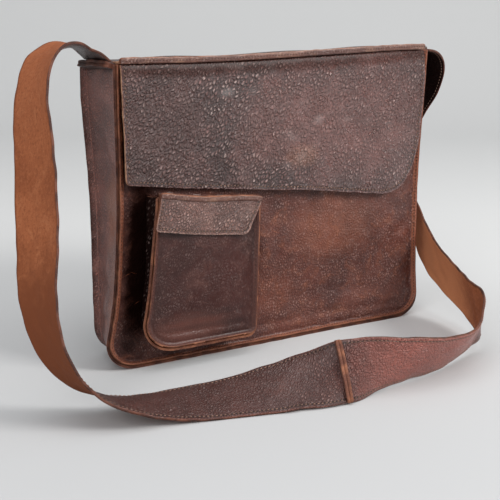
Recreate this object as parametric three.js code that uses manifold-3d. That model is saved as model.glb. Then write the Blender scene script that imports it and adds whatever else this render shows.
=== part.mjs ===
// A leather satchel bag with a full drop-front flap, a small outside pocket with its own flap,
// and one long shoulder strap whose two halves meet at a raised joint.
// Millimetres, +Z up, +X along the bag's width, -Y is the front.
// The origin is the middle of the bag's flat bottom, on the floor.
import * as THREE from 'three';
import { mergeVertices } from 'three/addons/utils/BufferGeometryUtils.js';
import Module from 'manifold-3d';

const wasm = await Module();
wasm.setup();

// Driving dimensions
const LEATHER = 2.4;            // thickness of every leather piece
const GAP = 0.5;                // clearance between neighbouring pieces
const BAG_WIDTH = 380;          // over the outer faces of the two side walls
const BAG_DEPTH = 76;           // over the outer faces of the front and back panels
const BAG_HEIGHT = 305;         // from the floor to the top edges of the panels
const CORNER_RADIUS = 28;       // bottom corners of the panels
const LIP = 6;                  // how far the turned-out seams stand proud
const LIP_ANGLE_SIDE = Math.PI / 4;
const LIP_ANGLE_BOTTOM = Math.PI / 2;
const THREAD = 0.8;             // thickness of the sewing thread
const STITCH_REACH = 0.75;      // seam stitching, as a share of the way out along a lip
const STITCH_INSET = 3.5;       // border stitching, in from a raw edge

const POCKET_LEFT = -163;
const POCKET_RIGHT = -47;
const POCKET_BOTTOM = 20;
const POCKET_TOP_LEFT = 175;
const POCKET_TOP_RIGHT = 158;
const POCKET_DEPTH = 25;
const POCKET_RADIUS = 20;
const POCKET_LIP = 5;
const POCKET_LID_OVERHANG = 3;  // how far the pocket's lid passes its sides
const POCKET_FLAP_DROP = 31;
const POCKET_FLAP_CORNER = 4;   // rounding at its lower left
const POCKET_FLAP_CURVE = 34;   // how far from its right edge the lower corner starts to round

const FLAP_LEFT = -183;
const FLAP_RIGHT = 186;
const FLAP_STANDOFF = 5.6;      // from the front panel to the inside of the hanging flap
const FLAP_BOTTOM_LEFT = 188;   // height of the flap's lower edge at its left end
const FLAP_BOTTOM_RIGHT = 150;
const FLAP_CORNER = 7;          // rounding at the flap's lower left
const FLAP_CURVE_START = 118;   // where the lower edge starts to round into the right edge
const FLAP_CURVE_HEIGHT = 85;   // how far up the right edge that curve reaches
const RIDGE_HEIGHT = 5;         // raised seams along the folds and across the strap
const RIDGE_THICKNESS = 4.8;    // two layers of leather pinched together

const STRAP_WIDTH = 58;
const STRAP_END_X = 204;        // where the free strap starts, outside the side walls
const STRAP_STEPS = 40;         // sections along each half of the strap

const HALF_WIDTH = BAG_WIDTH / 2;
const HALF_DEPTH = BAG_DEPTH / 2;
const SEAM_DEPTH = HALF_DEPTH - LEATHER - GAP / 2;
const POCKET_TILT = Math.atan2(POCKET_TOP_LEFT - POCKET_TOP_RIGHT, POCKET_RIGHT - POCKET_LEFT);
const FLAP_TOP_Z = BAG_HEIGHT + GAP;
const FLAP_INSIDE_Y = -HALF_DEPTH - FLAP_STANDOFF;

// The strap's route: the middle of the strap and the direction across its width.
// It leaves the left side wall, arches outward, drops to the floor, runs along the floor in
// front of the bag, turns back on the right and climbs to the right side wall.
const STRAP_LEFT_ROUTE = [
  { at: [-204, 0, 318], across: [0, 1, 0] },
  { at: [-215, 0, 320], across: [0, 1, 0] },
  { at: [-235, -9, 321], across: [-0.14, 0.98, -0.08] },
  { at: [-262, -31, 308], across: [-0.17, 0.94, -0.28] },
  { at: [-281, -54, 274], across: [-0.17, 0.91, -0.38] },
  { at: [-289, -76, 230], across: [-0.25, 0.9, -0.37] },
  { at: [-298, -100, 170], across: [-0.31, 0.89, -0.32] },
  { at: [-308, -124, 102], across: [-0.2, 0.92, -0.35] },
  { at: [-300, -141, 57], across: [0, 0.94, -0.34] },
  { at: [-281, -151, 32], across: [0.15, 0.95, -0.26] },
  { at: [-250, -162, 18], across: [0.25, 0.96, -0.1] },
  { at: [-205, -172, 10.5], across: [0.27, 0.95, 0.12] },
  { at: [-142, -191, 13], across: [0.27, 0.89, 0.36] },
  { at: [-98, -208, 20.5], across: [0.24, 0.79, 0.56] },
  { at: [-55, -227, 29], across: [0.13, 0.36, 0.92] },
];
const STRAP_RIGHT_ROUTE = [
  { at: [-55, -227, 29], across: [0.13, 0.36, 0.92] },
  { at: [-11, -236, 30], across: [0.07, -0.15, 0.99] },
  { at: [35, -238, 27], across: [0.09, -0.49, 0.86] },
  { at: [81, -231, 25], across: [0.12, -0.6, 0.79] },
  { at: [124, -213, 27], across: [0.07, -0.46, 0.89] },
  { at: [150, -193, 31], across: [-0.05, -0.3, 0.95] },
  { at: [171, -166, 37], across: [-0.14, -0.23, 0.96] },
  { at: [187, -124, 48], across: [-0.21, -0.26, 0.94] },
  { at: [198, -82, 62], across: [-0.24, -0.36, 0.9] },
  { at: [208, -42, 82], across: [-0.3, -0.46, 0.84] },
  { at: [217, -8, 110], across: [-0.53, -0.48, 0.7] },
  { at: [223, 30, 144], across: [-0.75, -0.46, 0.48] },
  { at: [226, 50, 184], across: [-0.99, 0.02, 0.1] },
  { at: [229, 42, 224], across: [-0.72, 0.65, 0.25] },
  { at: [232, 21, 260], across: [-0.45, 0.86, 0.22] },
  { at: [230, 5, 291], across: [-0.15, 0.98, 0.1] },
  { at: [217, 0, 317], across: [0, 1, 0] },
  { at: [204, 0, 318], across: [0, 1, 0] },
];

function leather(color, roughness) {
  return new THREE.MeshStandardMaterial({ color, roughness, metalness: 0 });
}

function panelLeather() {
  return leather('#6b4640', 0.5);
}

function flapLeather() {
  return leather('#6a5252', 0.45);
}

function pocketLeather() {
  return leather('#4a302d', 0.5);
}

function strapLeather() {
  return leather('#7a4c44', 0.55);
}

function sewingThread() {
  return leather('#a58d84', 0.8);
}

// Six times the signed volume of an indexed geometry: negative when its faces point in.
function signedVolume(positions, indices) {
  const a = new THREE.Vector3();
  const b = new THREE.Vector3();
  const c = new THREE.Vector3();
  let total = 0;
  for (let i = 0; i < indices.length; i += 3) {
    a.fromArray(positions, 3 * indices[i]);
    b.fromArray(positions, 3 * indices[i + 1]);
    c.fromArray(positions, 3 * indices[i + 2]);
    total += a.dot(b.cross(c));
  }
  return total;
}

// A closed solid through a row of convex sections with equal numbers of corners, capped at
// both ends.
function loft(sections) {
  const positions = sections.flat().flatMap((corner) => corner.toArray());
  const indices = [];
  const count = sections[0].length;
  const last = count * (sections.length - 1);
  for (let i = 0; i < last; i += count) {
    for (let k = 0; k < count; k += 1) {
      const next = (k + 1) % count;
      indices.push(i + k, i + next, i + count + next);
      indices.push(i + k, i + count + next, i + count + k);
    }
  }
  for (let k = 1; k < count - 1; k += 1) {
    indices.push(0, k + 1, k);
    indices.push(last, last + k, last + k + 1);
  }
  if (signedVolume(positions, indices) < 0) {
    indices.reverse();
  }
  const geometry = new THREE.BufferGeometry();
  geometry.setAttribute('position', new THREE.Float32BufferAttribute(positions, 3));
  geometry.setIndex(indices);
  return geometry;
}

function solidOf(geometry) {
  const bare = geometry.clone();
  bare.deleteAttribute('normal');
  bare.deleteAttribute('uv');
  const merged = mergeVertices(bare, 1e-4);
  return new wasm.Manifold(new wasm.Mesh({
    numProp: 3,
    vertProperties: new Float32Array(merged.attributes.position.array),
    triVerts: new Uint32Array(merged.index.array),
  }));
}

// Several overlapping geometries joined into one solid.
function join(...geometries) {
  const whole = geometries.map(solidOf).reduce((sum, solid) => sum.add(solid)).getMesh();
  const geometry = new THREE.BufferGeometry();
  geometry.setAttribute('position', new THREE.BufferAttribute(whole.vertProperties, 3));
  geometry.setIndex(new THREE.BufferAttribute(whole.triVerts, 1));
  return geometry;
}

// A sheet of leather: an outline in X and Z, extruded from depth y0 towards +Y.
function sheet(shape, y0, thickness = LEATHER) {
  const geometry = new THREE.ExtrudeGeometry(shape, {
    depth: thickness,
    bevelEnabled: false,
    curveSegments: 8,
  });
  geometry.rotateX(Math.PI / 2);
  geometry.translate(0, y0 + thickness, 0);
  return geometry;
}

// The seam line down one side, round the bottom and up the other side. Each point has its
// outward direction, and "turn", which is 0 on the sides and 1 along the bottom.
function seamPath({ left, right, bottom, topLeft, topRight, radius }) {
  const points = [];
  const arcSteps = 8;
  const put = (x, z, angle) => {
    const out = new THREE.Vector2(Math.cos(angle), Math.sin(angle));
    points.push({ x, z, out, turn: -Math.sin(angle) });
  };
  put(left, topLeft, -Math.PI);
  for (let i = 0; i <= arcSteps; i += 1) {
    const angle = -Math.PI + (i / arcSteps) * (Math.PI / 2);
    put(left + radius + radius * Math.cos(angle), bottom + radius + radius * Math.sin(angle), angle);
  }
  for (let i = 0; i <= arcSteps; i += 1) {
    const angle = -Math.PI / 2 + (i / arcSteps) * (Math.PI / 2);
    put(right - radius + radius * Math.cos(angle), bottom + radius + radius * Math.sin(angle), angle);
  }
  put(right, topRight, 0);
  return points;
}

// A point of a seam: "out" is measured outward from the seam path and "deep" away from the
// bag's middle plane, towards the front (side -1) or the back (side +1).
function seamPoint(node, side, out, deep) {
  return new THREE.Vector3(node.x + out * node.out.x, side * deep, node.z + out * node.out.y);
}

// A four-sided run along a turned-out seam. "layers" are the two distances across the
// seam's layers, and "reach" the two distances along the lip.
function lipRun(path, side, seamDeep, layers, reach) {
  return loft(path.map((node) => {
    const angle = THREE.MathUtils.lerp(LIP_ANGLE_SIDE, LIP_ANGLE_BOTTOM, node.turn);
    const start = -(LEATHER + GAP / 2) * node.turn;
    const corner = (layer, along) => seamPoint(
      node,
      side,
      start + layer * Math.sin(angle) + along * Math.cos(angle),
      seamDeep - layer * Math.cos(angle) + along * Math.sin(angle),
    );
    return [
      corner(layers[0], reach[0]),
      corner(layers[1], reach[0]),
      corner(layers[1], reach[1]),
      corner(layers[0], reach[1]),
    ];
  }));
}

const OUTER_LAYER = [-GAP / 2 - LEATHER, -GAP / 2];
const INNER_LAYER = [GAP / 2, GAP / 2 + LEATHER];
const THREAD_LAYER = [-LEATHER - 0.5 - THREAD, -LEATHER - 0.5];

// A panel with the turned-out lip round its sides and bottom.
function lippedPanel(path, side, seamDeep, lip) {
  const shape = new THREE.Shape(path.map((node) => {
    const inset = GAP / 2 + (LEATHER + GAP / 2) * node.turn;
    return new THREE.Vector2(node.x - inset * node.out.x, node.z - inset * node.out.y);
  }));
  const inside = seamDeep + GAP / 2;
  const y0 = side < 0 ? -inside - LEATHER : inside;
  return join(sheet(shape, y0), lipRun(path, side, seamDeep, OUTER_LAYER, [0, lip]));
}

// The wall that runs round the sides and bottom, between two depths (positive is front).
function wall(path, deepFront, deepBack) {
  return loft(path.map((node) => [
    seamPoint(node, -1, 0, deepFront),
    seamPoint(node, -1, -LEATHER, deepFront),
    seamPoint(node, -1, -LEATHER, deepBack),
    seamPoint(node, -1, 0, deepBack),
  ]));
}

function seamStitch(path, side, seamDeep, lip) {
  const middle = lip * STITCH_REACH;
  return lipRun(path, side, seamDeep, THREAD_LAYER, [middle - THREAD / 2, middle + THREAD / 2]);
}

const BAG_PATH = seamPath({
  left: -HALF_WIDTH,
  right: HALF_WIDTH,
  bottom: 0,
  topLeft: BAG_HEIGHT,
  topRight: BAG_HEIGHT,
  radius: CORNER_RADIUS,
});

const POCKET_PATH = seamPath({
  left: POCKET_LEFT,
  right: POCKET_RIGHT,
  bottom: POCKET_BOTTOM,
  topLeft: POCKET_TOP_LEFT,
  topRight: POCKET_TOP_RIGHT,
  radius: POCKET_RADIUS,
});

function gussetGeometry() {
  const web = wall(BAG_PATH, SEAM_DEPTH - GAP / 2, -(SEAM_DEPTH - GAP / 2));
  const reach = [-LEATHER, LIP];
  const front = lipRun(BAG_PATH, -1, SEAM_DEPTH, INNER_LAYER, reach);
  const back = lipRun(BAG_PATH, 1, SEAM_DEPTH, INNER_LAYER, reach);
  return join(web, front, back);
}

const POCKET_SEAM_DEEP = HALF_DEPTH + POCKET_DEPTH - LEATHER - GAP / 2;

function pocketGussetGeometry() {
  const web = wall(POCKET_PATH, POCKET_SEAM_DEEP - GAP / 2, HALF_DEPTH + GAP);
  const lip = lipRun(POCKET_PATH, -1, POCKET_SEAM_DEEP, INNER_LAYER, [-LEATHER, POCKET_LIP]);
  return join(web, lip);
}

// Where the handles of the flap's large corner curve lie, from its right edge and lowest point
const FLAP_CURVE_HANDLE = { across: 18, below: 7, up: 30 };
const FLAP_CURVE_STEPS = 10;

// The hanging flap: nearly square at the lower left, widely rounded at the lower right, and
// cut so that its lower edge falls away to the right. "inset" moves the line inward.
function flapEdge(inset) {
  const left = FLAP_LEFT + inset;
  const right = FLAP_RIGHT - inset;
  const slope = (FLAP_BOTTOM_RIGHT - FLAP_BOTTOM_LEFT) / (FLAP_CURVE_START - FLAP_LEFT);
  const lower = (x) => FLAP_BOTTOM_LEFT + inset + slope * (x - FLAP_LEFT);
  const lowest = lower(FLAP_CURVE_START);
  const path = new THREE.Path();
  path.moveTo(left, BAG_HEIGHT - GAP);
  path.lineTo(left, lower(left) + FLAP_CORNER);
  path.quadraticCurveTo(left, lower(left), left + FLAP_CORNER, lower(left + FLAP_CORNER));
  path.lineTo(FLAP_CURVE_START, lowest);
  path.bezierCurveTo(
    right - FLAP_CURVE_HANDLE.across, lowest - FLAP_CURVE_HANDLE.below,
    right, lowest + FLAP_CURVE_HANDLE.up,
    right, lowest + FLAP_CURVE_HEIGHT,
  );
  path.lineTo(right, BAG_HEIGHT - GAP);
  return path.getPoints(FLAP_CURVE_STEPS);
}

// A thin line of stitching along an open run of points, as an outline of the given width.
function stitchShape(points, width) {
  const sideOf = (offset) => points.map((point, i) => {
    const before = points[Math.max(i - 1, 0)];
    const after = points[Math.min(i + 1, points.length - 1)];
    const along = after.clone().sub(before).normalize();
    return new THREE.Vector2(point.x - along.y * offset, point.y + along.x * offset);
  });
  return new THREE.Shape([...sideOf(width / 2), ...sideOf(-width / 2).reverse()]);
}

function distinct(points) {
  return points.filter((point, i) => i === 0 || point.distanceTo(points[i - 1]) > 0.5);
}

// The curve of that flap's lower right corner, from its right edge and its lower edge
const POCKET_CORNER_CURVE = [[-18, 0], [-12, 8], [-8, 14]];
const POCKET_FLAP_STEPS = 6;

// The pocket's flap in its lid's own tilted frame: x from the lid's left end, z down from 0.
function pocketFlapEdge(inset) {
  const width = (POCKET_RIGHT - POCKET_LEFT) / Math.cos(POCKET_TILT);
  const left = -POCKET_LID_OVERHANG + inset;
  const right = width + POCKET_LID_OVERHANG - inset;
  const lower = -POCKET_FLAP_DROP + inset;
  const path = new THREE.Path();
  path.moveTo(left, -GAP);
  path.lineTo(left, lower + POCKET_FLAP_CORNER);
  path.quadraticCurveTo(left, lower, left + POCKET_FLAP_CORNER, lower);
  path.lineTo(right - POCKET_FLAP_CURVE, lower);
  path.bezierCurveTo(...POCKET_CORNER_CURVE.flatMap(([x, z]) => [right + x, lower + z]));
  path.lineTo(right, -GAP);
  return path.getPoints(POCKET_FLAP_STEPS);
}

function boxBetween(low, high) {
  const size = high.map((value, i) => value - low[i]);
  const geometry = new THREE.BoxGeometry(...size);
  geometry.translate(...high.map((value, i) => (value + low[i]) / 2));
  return geometry;
}

// Sections of a strap half between two fractions of its length. Each is a band between two
// layers above the strap's middle surface, with corners at the given distances across it.
function strapSections(route, layers, acrossList, from, to, steps = STRAP_STEPS) {
  const middle = new THREE.CatmullRomCurve3(route.map((station) => new THREE.Vector3(...station.at)));
  const width = new THREE.CatmullRomCurve3(
    route.map((station) => new THREE.Vector3(...station.across).normalize()),
  );
  const sections = [];
  for (let i = 0; i <= steps; i += 1) {
    const share = THREE.MathUtils.lerp(from, to, i / steps);
    const centre = middle.getPoint(share);
    const along = middle.getTangent(share);
    const across = width.getPoint(share);
    across.addScaledVector(along, -across.dot(along)).normalize();
    const normal = along.clone().cross(across).normalize();
    const corner = (wide, thick) => centre.clone()
      .addScaledVector(across, wide)
      .addScaledVector(normal, thick);
    const low = acrossList.map((wide) => corner(wide, layers[0]));
    const high = acrossList.map((wide) => corner(wide, layers[1]));
    sections.push([...low, ...high.reverse()]);
  }
  return sections;
}

const STRAP_HALF = STRAP_WIDTH / 2;
const STRAP_STITCH_LINE = STRAP_HALF - STITCH_INSET;

function strapBand(route, from, to) {
  const columns = [-STRAP_HALF, -STRAP_STITCH_LINE, STRAP_STITCH_LINE, STRAP_HALF];
  return loft(strapSections(route, [-LEATHER / 2, LEATHER / 2], columns, from, to));
}

// Stitching along one edge of a strap half, on the grain side, a step short of both its ends.
function strapStitch(route, edge, from, to) {
  const middle = edge * STRAP_STITCH_LINE;
  const base = LEATHER / 2 + 3 * GAP;
  const layers = [base, base + THREAD];
  const columns = [middle - THREAD / 2, middle + THREAD / 2];
  return loft(strapSections(route, layers, columns, from, to).slice(1, -1));
}

// How far into each half the raised joint reaches, as a share of that half's length
const RIDGE_SHARE_LEFT = 0.005;
const RIDGE_SHARE_RIGHT = 0.004;

// The raised seam where the strap's two halves meet.
function strapRidge() {
  const base = LEATHER / 2 + 2 * GAP;
  const layers = [base, base + RIDGE_HEIGHT];
  const columns = [-STRAP_HALF, STRAP_HALF];
  const near = strapSections(STRAP_LEFT_ROUTE, layers, columns, 1 - RIDGE_SHARE_LEFT, 1, 1);
  const far = strapSections(STRAP_RIGHT_ROUTE, layers, columns, 0, RIDGE_SHARE_RIGHT, 1);
  return loft([near[0], far[1]]);
}

// The bend of the strap's sewn end, from upright on the side wall to level: how far outside the
// wall and above its top edge it is, and which way its outer face looks there.
const ANCHOR_BEND = [
  { out: 1.6, up: 0.6, facing: [1, 0] },
  { out: 2.6, up: 7, facing: [0.92, -0.35] },
  { out: 6.5, up: 11.5, facing: [0.4, -0.9] },
  { out: STRAP_END_X - HALF_WIDTH - 3 * GAP, up: 13, facing: [0, -1] },
];

// The end of the strap that is sewn to the top of a side wall.
function strapAnchor(side) {
  return loft(ANCHOR_BEND.map(({ out, up, facing: [dx, dz] }) => {
    const x = HALF_WIDTH + out;
    const z = BAG_HEIGHT + up;
    const outX = side * (x + (dx * LEATHER) / 2);
    const inX = side * (x - (dx * LEATHER) / 2);
    const outZ = z + (dz * LEATHER) / 2;
    const inZ = z - (dz * LEATHER) / 2;
    return [
      new THREE.Vector3(outX, -STRAP_HALF, outZ),
      new THREE.Vector3(outX, STRAP_HALF, outZ),
      new THREE.Vector3(inX, STRAP_HALF, inZ),
      new THREE.Vector3(inX, -STRAP_HALF, inZ),
    ];
  }));
}

// Where the left half ends and the right half starts, on either side of the raised joint.
const JOINT_GAP_LEFT = 0.998;
const JOINT_GAP_RIGHT = 0.002;

function strapPieces() {
  const left = [STRAP_LEFT_ROUTE, 0, JOINT_GAP_LEFT];
  const right = [STRAP_RIGHT_ROUTE, JOINT_GAP_RIGHT, 1];
  const stitch = (half, edge) => strapStitch(half[0], edge, half[1], half[2]);
  return [
    piece('strap_left', strapBand(...left), strapLeather()),
    piece('strap_right', strapBand(...right), strapLeather()),
    piece('strap_ridge', strapRidge(), strapLeather()),
    piece('strap_stitch_left_front', stitch(left, -1), sewingThread()),
    piece('strap_stitch_left_back', stitch(left, 1), sewingThread()),
    piece('strap_stitch_right_front', stitch(right, -1), sewingThread()),
    piece('strap_stitch_right_back', stitch(right, 1), sewingThread()),
  ];
}

function piece(name, geometry, material) {
  const mesh = new THREE.Mesh(geometry, material);
  mesh.name = name;
  return mesh;
}

function bodyPieces() {
  return [
    piece('front_panel', lippedPanel(BAG_PATH, -1, SEAM_DEPTH, LIP), panelLeather()),
    piece('back_panel', lippedPanel(BAG_PATH, 1, SEAM_DEPTH, LIP), panelLeather()),
    piece('gusset', gussetGeometry(), panelLeather()),
    piece('seam_stitch_front', seamStitch(BAG_PATH, -1, SEAM_DEPTH, LIP), sewingThread()),
    piece('seam_stitch_back', seamStitch(BAG_PATH, 1, SEAM_DEPTH, LIP), sewingThread()),
    piece('strap_anchor_left', strapAnchor(-1), strapLeather()),
    piece('strap_anchor_right', strapAnchor(1), strapLeather()),
  ];
}

function flapPieces() {
  const topBack = HALF_DEPTH - 1;
  const topFront = FLAP_INSIDE_Y + GAP;
  const top = boxBetween(
    [FLAP_LEFT, topFront, FLAP_TOP_Z],
    [FLAP_RIGHT, topBack, FLAP_TOP_Z + LEATHER],
  );
  const ridgeBase = FLAP_TOP_Z + LEATHER + GAP;
  const ridge = boxBetween(
    [FLAP_LEFT, topFront - RIDGE_THICKNESS / 2, ridgeBase],
    [FLAP_RIGHT, topFront + RIDGE_THICKNESS / 2, ridgeBase + RIDGE_HEIGHT],
  );
  const ridgeStitchY = topFront - RIDGE_THICKNESS / 2 - 0.3 - THREAD;
  const ridgeStitch = boxBetween(
    [FLAP_LEFT + 2, ridgeStitchY, ridgeBase + RIDGE_HEIGHT / 2],
    [FLAP_RIGHT - 2, ridgeStitchY + THREAD, ridgeBase + RIDGE_HEIGHT / 2 + THREAD],
  );
  const flap = sheet(new THREE.Shape(flapEdge(0)), FLAP_INSIDE_Y - LEATHER);
  const stitchLine = stitchShape(distinct(flapEdge(STITCH_INSET)), THREAD);
  const stitch = sheet(stitchLine, FLAP_INSIDE_Y - LEATHER - 0.3 - THREAD, THREAD);
  return [
    piece('flap_top', top, flapLeather()),
    piece('flap_ridge', ridge, flapLeather()),
    piece('flap_ridge_stitch', ridgeStitch, sewingThread()),
    piece('flap_front', flap, flapLeather()),
    piece('flap_stitch', stitch, sewingThread()),
  ];
}

function pocketPieces() {
  return [
    piece('pocket_front', lippedPanel(POCKET_PATH, -1, POCKET_SEAM_DEEP, POCKET_LIP), pocketLeather()),
    piece('pocket_gusset', pocketGussetGeometry(), pocketLeather()),
    piece('pocket_seam_stitch', seamStitch(POCKET_PATH, -1, POCKET_SEAM_DEEP, POCKET_LIP), sewingThread()),
  ];
}

// The pocket's lid, built level and then tilted to follow the pocket's sloping top.
function pocketLid() {
  const lid = new THREE.Group();
  lid.position.set(POCKET_LEFT, 0, POCKET_TOP_LEFT);
  lid.rotation.y = POCKET_TILT;
  const width = (POCKET_RIGHT - POCKET_LEFT) / Math.cos(POCKET_TILT);
  const left = -POCKET_LID_OVERHANG;
  const right = width + POCKET_LID_OVERHANG;
  const insideY = -HALF_DEPTH - POCKET_DEPTH - POCKET_LIP;
  const top = boxBetween(
    [left, insideY + GAP, GAP],
    [right, -HALF_DEPTH - GAP, GAP + LEATHER],
  );
  const ridgeBase = LEATHER + 2 * GAP;
  const ridge = boxBetween(
    [left, insideY + GAP - RIDGE_THICKNESS / 2, ridgeBase],
    [right, insideY + GAP + RIDGE_THICKNESS / 2, ridgeBase + RIDGE_HEIGHT / 2],
  );
  const flap = sheet(new THREE.Shape(pocketFlapEdge(0)), insideY - LEATHER);
  const stitchLine = stitchShape(distinct(pocketFlapEdge(STITCH_INSET)), THREAD);
  const stitch = sheet(stitchLine, insideY - LEATHER - 0.3 - THREAD, THREAD);
  lid.add(piece('pocket_flap_top', top, flapLeather()));
  lid.add(piece('pocket_ridge', ridge, flapLeather()));
  lid.add(piece('pocket_flap', flap, flapLeather()));
  lid.add(piece('pocket_flap_stitch', stitch, sewingThread()));
  return lid;
}

const satchel = new THREE.Group();
satchel.add(...bodyPieces());
satchel.add(...flapPieces());
satchel.add(...pocketPieces());
satchel.add(pocketLid());
satchel.add(...strapPieces());

export default satchel;
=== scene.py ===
"""A worn leather satchel with its shoulder strap laid out in front, built round its frame."""
import math

import bpy
import numpy as np
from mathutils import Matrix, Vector


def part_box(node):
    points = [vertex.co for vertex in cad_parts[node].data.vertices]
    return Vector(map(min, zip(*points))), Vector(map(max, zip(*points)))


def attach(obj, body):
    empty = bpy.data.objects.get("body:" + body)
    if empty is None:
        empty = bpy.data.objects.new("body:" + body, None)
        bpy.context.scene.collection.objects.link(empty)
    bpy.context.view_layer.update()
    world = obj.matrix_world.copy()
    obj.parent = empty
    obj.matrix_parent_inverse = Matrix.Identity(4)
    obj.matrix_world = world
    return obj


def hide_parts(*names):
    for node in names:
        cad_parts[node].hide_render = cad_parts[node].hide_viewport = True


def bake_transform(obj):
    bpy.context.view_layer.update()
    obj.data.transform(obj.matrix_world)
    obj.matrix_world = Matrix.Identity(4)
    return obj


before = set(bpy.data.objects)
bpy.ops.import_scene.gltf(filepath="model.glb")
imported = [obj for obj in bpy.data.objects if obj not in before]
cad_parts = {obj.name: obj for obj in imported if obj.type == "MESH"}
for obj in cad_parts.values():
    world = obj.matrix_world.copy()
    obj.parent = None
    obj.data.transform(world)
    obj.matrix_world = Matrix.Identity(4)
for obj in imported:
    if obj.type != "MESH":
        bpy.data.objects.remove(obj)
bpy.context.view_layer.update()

# Leather and seams, in metres, as in the frame
LEATHER = 0.0024
GAP = 0.0005
LIP = 0.006
POCKET_LIP = 0.005
LIP_ANGLE_SIDE = math.pi / 4
LIP_ANGLE_BOTTOM = math.pi / 2
STITCH_INSET = 0.0035
HALF_LAYER = LEATHER + GAP / 2

HALF_WIDTH = 0.190
HALF_DEPTH = 0.038
BAG_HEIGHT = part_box("gusset")[1].z
CORNER_RADIUS = 0.028
SEAM_DEPTH = HALF_DEPTH - HALF_LAYER

POCKET = {
    "left": -0.163,
    "right": -0.047,
    "bottom": 0.020,
    "top_left": 0.175,
    "top_right": 0.158,
    "radius": 0.032,
    "tight": 0.009,
}
POCKET_DEPTH = 0.025
POCKET_SEAM = HALF_DEPTH + POCKET_DEPTH - HALF_LAYER
POCKET_TILT = math.atan2(
    POCKET["top_left"] - POCKET["top_right"], POCKET["right"] - POCKET["left"]
)

FLAP_LEFT, FLAP_FRONT_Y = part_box("flap_front")[0][:2]
FLAP_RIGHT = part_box("flap_front")[1].x
FLAP_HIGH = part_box("flap_front")[1].z
FLAP_TOP_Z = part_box("flap_top")[1].z

# Small shapes of every leather edge
EDGE_ROUNDING = 0.0003
LIP_WOBBLE = 0.00014
LIP_WOBBLE_LENGTH = 0.03
FOLD_ROLL = 0.0009
WALL_START = 0.0052
BACK_LIP_RIM = 0.02

# The camera's direction: to the right of +Y and below level, in degrees
CAMERA_YAW = 32.6
CAMERA_PITCH = 13.4

FINE = 1.0


def count(n):
    return int(n * FINE)


# ---------------------------------------------------------------- small mathematics


def smooth(x, low, high):
    """0 below low, 1 above high, and an S-curve between."""
    t = np.clip((np.asarray(x, float) - low) / (high - low), 0, 1)
    return t * t * (3 - 2 * t)


def bump(x, middle, width):
    return np.exp(-(((np.asarray(x, float) - middle) / width) ** 2))


def unit(v):
    v = np.asarray(v, float)
    return v / np.maximum(np.linalg.norm(v, axis=-1, keepdims=True), 1e-12)


def waves(points, size, seed, count=14):
    """Smooth random relief between about -1 and 1, made of crossing waves of roughly one size."""
    source = np.random.default_rng(seed)
    directions = unit(source.normal(size=(count, points.shape[-1])))
    lengths = size * source.uniform(0.7, 1.6, count)
    phases = source.uniform(0, 2 * math.pi, count)
    angles = (points @ directions.T) * (2 * math.pi / lengths) + phases
    return np.sin(angles).sum(-1) / math.sqrt(count)


def spline(stations, steps):
    """A centripetal curve through the stations, with the same number of steps in each span."""
    p = np.asarray(stations, float)
    p = np.vstack([2 * p[0] - p[1], p, 2 * p[-1] - p[-2]])
    out = []
    for k in range(1, len(p) - 2):
        knots = [0.0]
        for a, b in ((k - 1, k), (k, k + 1), (k + 1, k + 2)):
            knots.append(knots[-1] + max(np.linalg.norm(p[b] - p[a]), 1e-9) ** 0.5)
        t0, t1, t2, t3 = knots
        for t in np.linspace(t1, t2, steps, endpoint=False):
            a1 = (t1 - t) / (t1 - t0) * p[k - 1] + (t - t0) / (t1 - t0) * p[k]
            a2 = (t2 - t) / (t2 - t1) * p[k] + (t - t1) / (t2 - t1) * p[k + 1]
            a3 = (t3 - t) / (t3 - t2) * p[k + 1] + (t - t2) / (t3 - t2) * p[k + 2]
            b1 = (t2 - t) / (t2 - t0) * a1 + (t - t0) / (t2 - t0) * a2
            b2 = (t3 - t) / (t3 - t1) * a2 + (t - t1) / (t3 - t1) * a3
            out.append((t2 - t) / (t2 - t1) * b1 + (t - t1) / (t2 - t1) * b2)
    out.append(p[-2])
    return np.array(out)


def lengths_along(points):
    steps = np.linalg.norm(np.diff(points, axis=0), axis=1)
    return np.concatenate([[0.0], np.cumsum(steps)])


def read_at(at, along, table):
    """The columns of a table of values along a line, read at other places along it."""
    return np.stack([np.interp(at, along, table[:, k]) for k in range(table.shape[1])], -1)


def resample(points, count, extra=None):
    """count points at equal distances along a line, and the extra columns read at the same places."""
    along = lengths_along(points)
    at = np.linspace(0, along[-1], count)
    table = points if extra is None else np.hstack([points, extra])
    return read_at(at, along, table)


# ---------------------------------------------------------------- how the bag has settled


FLOOR_SHIFT = -0.0052
LEAN = 0.0092
SIDES_PULLED_IN = 0.0040
LEFT_CORNER_KICK = 0.0085
RIGHT_CORNER_KICK = 0.0030
BACK_CORNER_SHIFT = 0.0085
BACK_TUCK = 0.0185
BACK_TUCK_FROM = 0.27
FRONT_SWELL = 0.0035
BACK_SWELL = 0.0030
RIGHT_FOOT_FORWARD = 0.0040
TOP_SAG = 0.0022
TOP_RIGHT_RISE = 0.0012
BACK_TOP_DROP = 0.0030
POCKET_SPLAY = 0.0048
POCKET_TOP_PULL = 0.0035
POCKET_RIGHT_RISE = 0.0055
POCKET_LEFT_RISE = 0.0015


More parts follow.
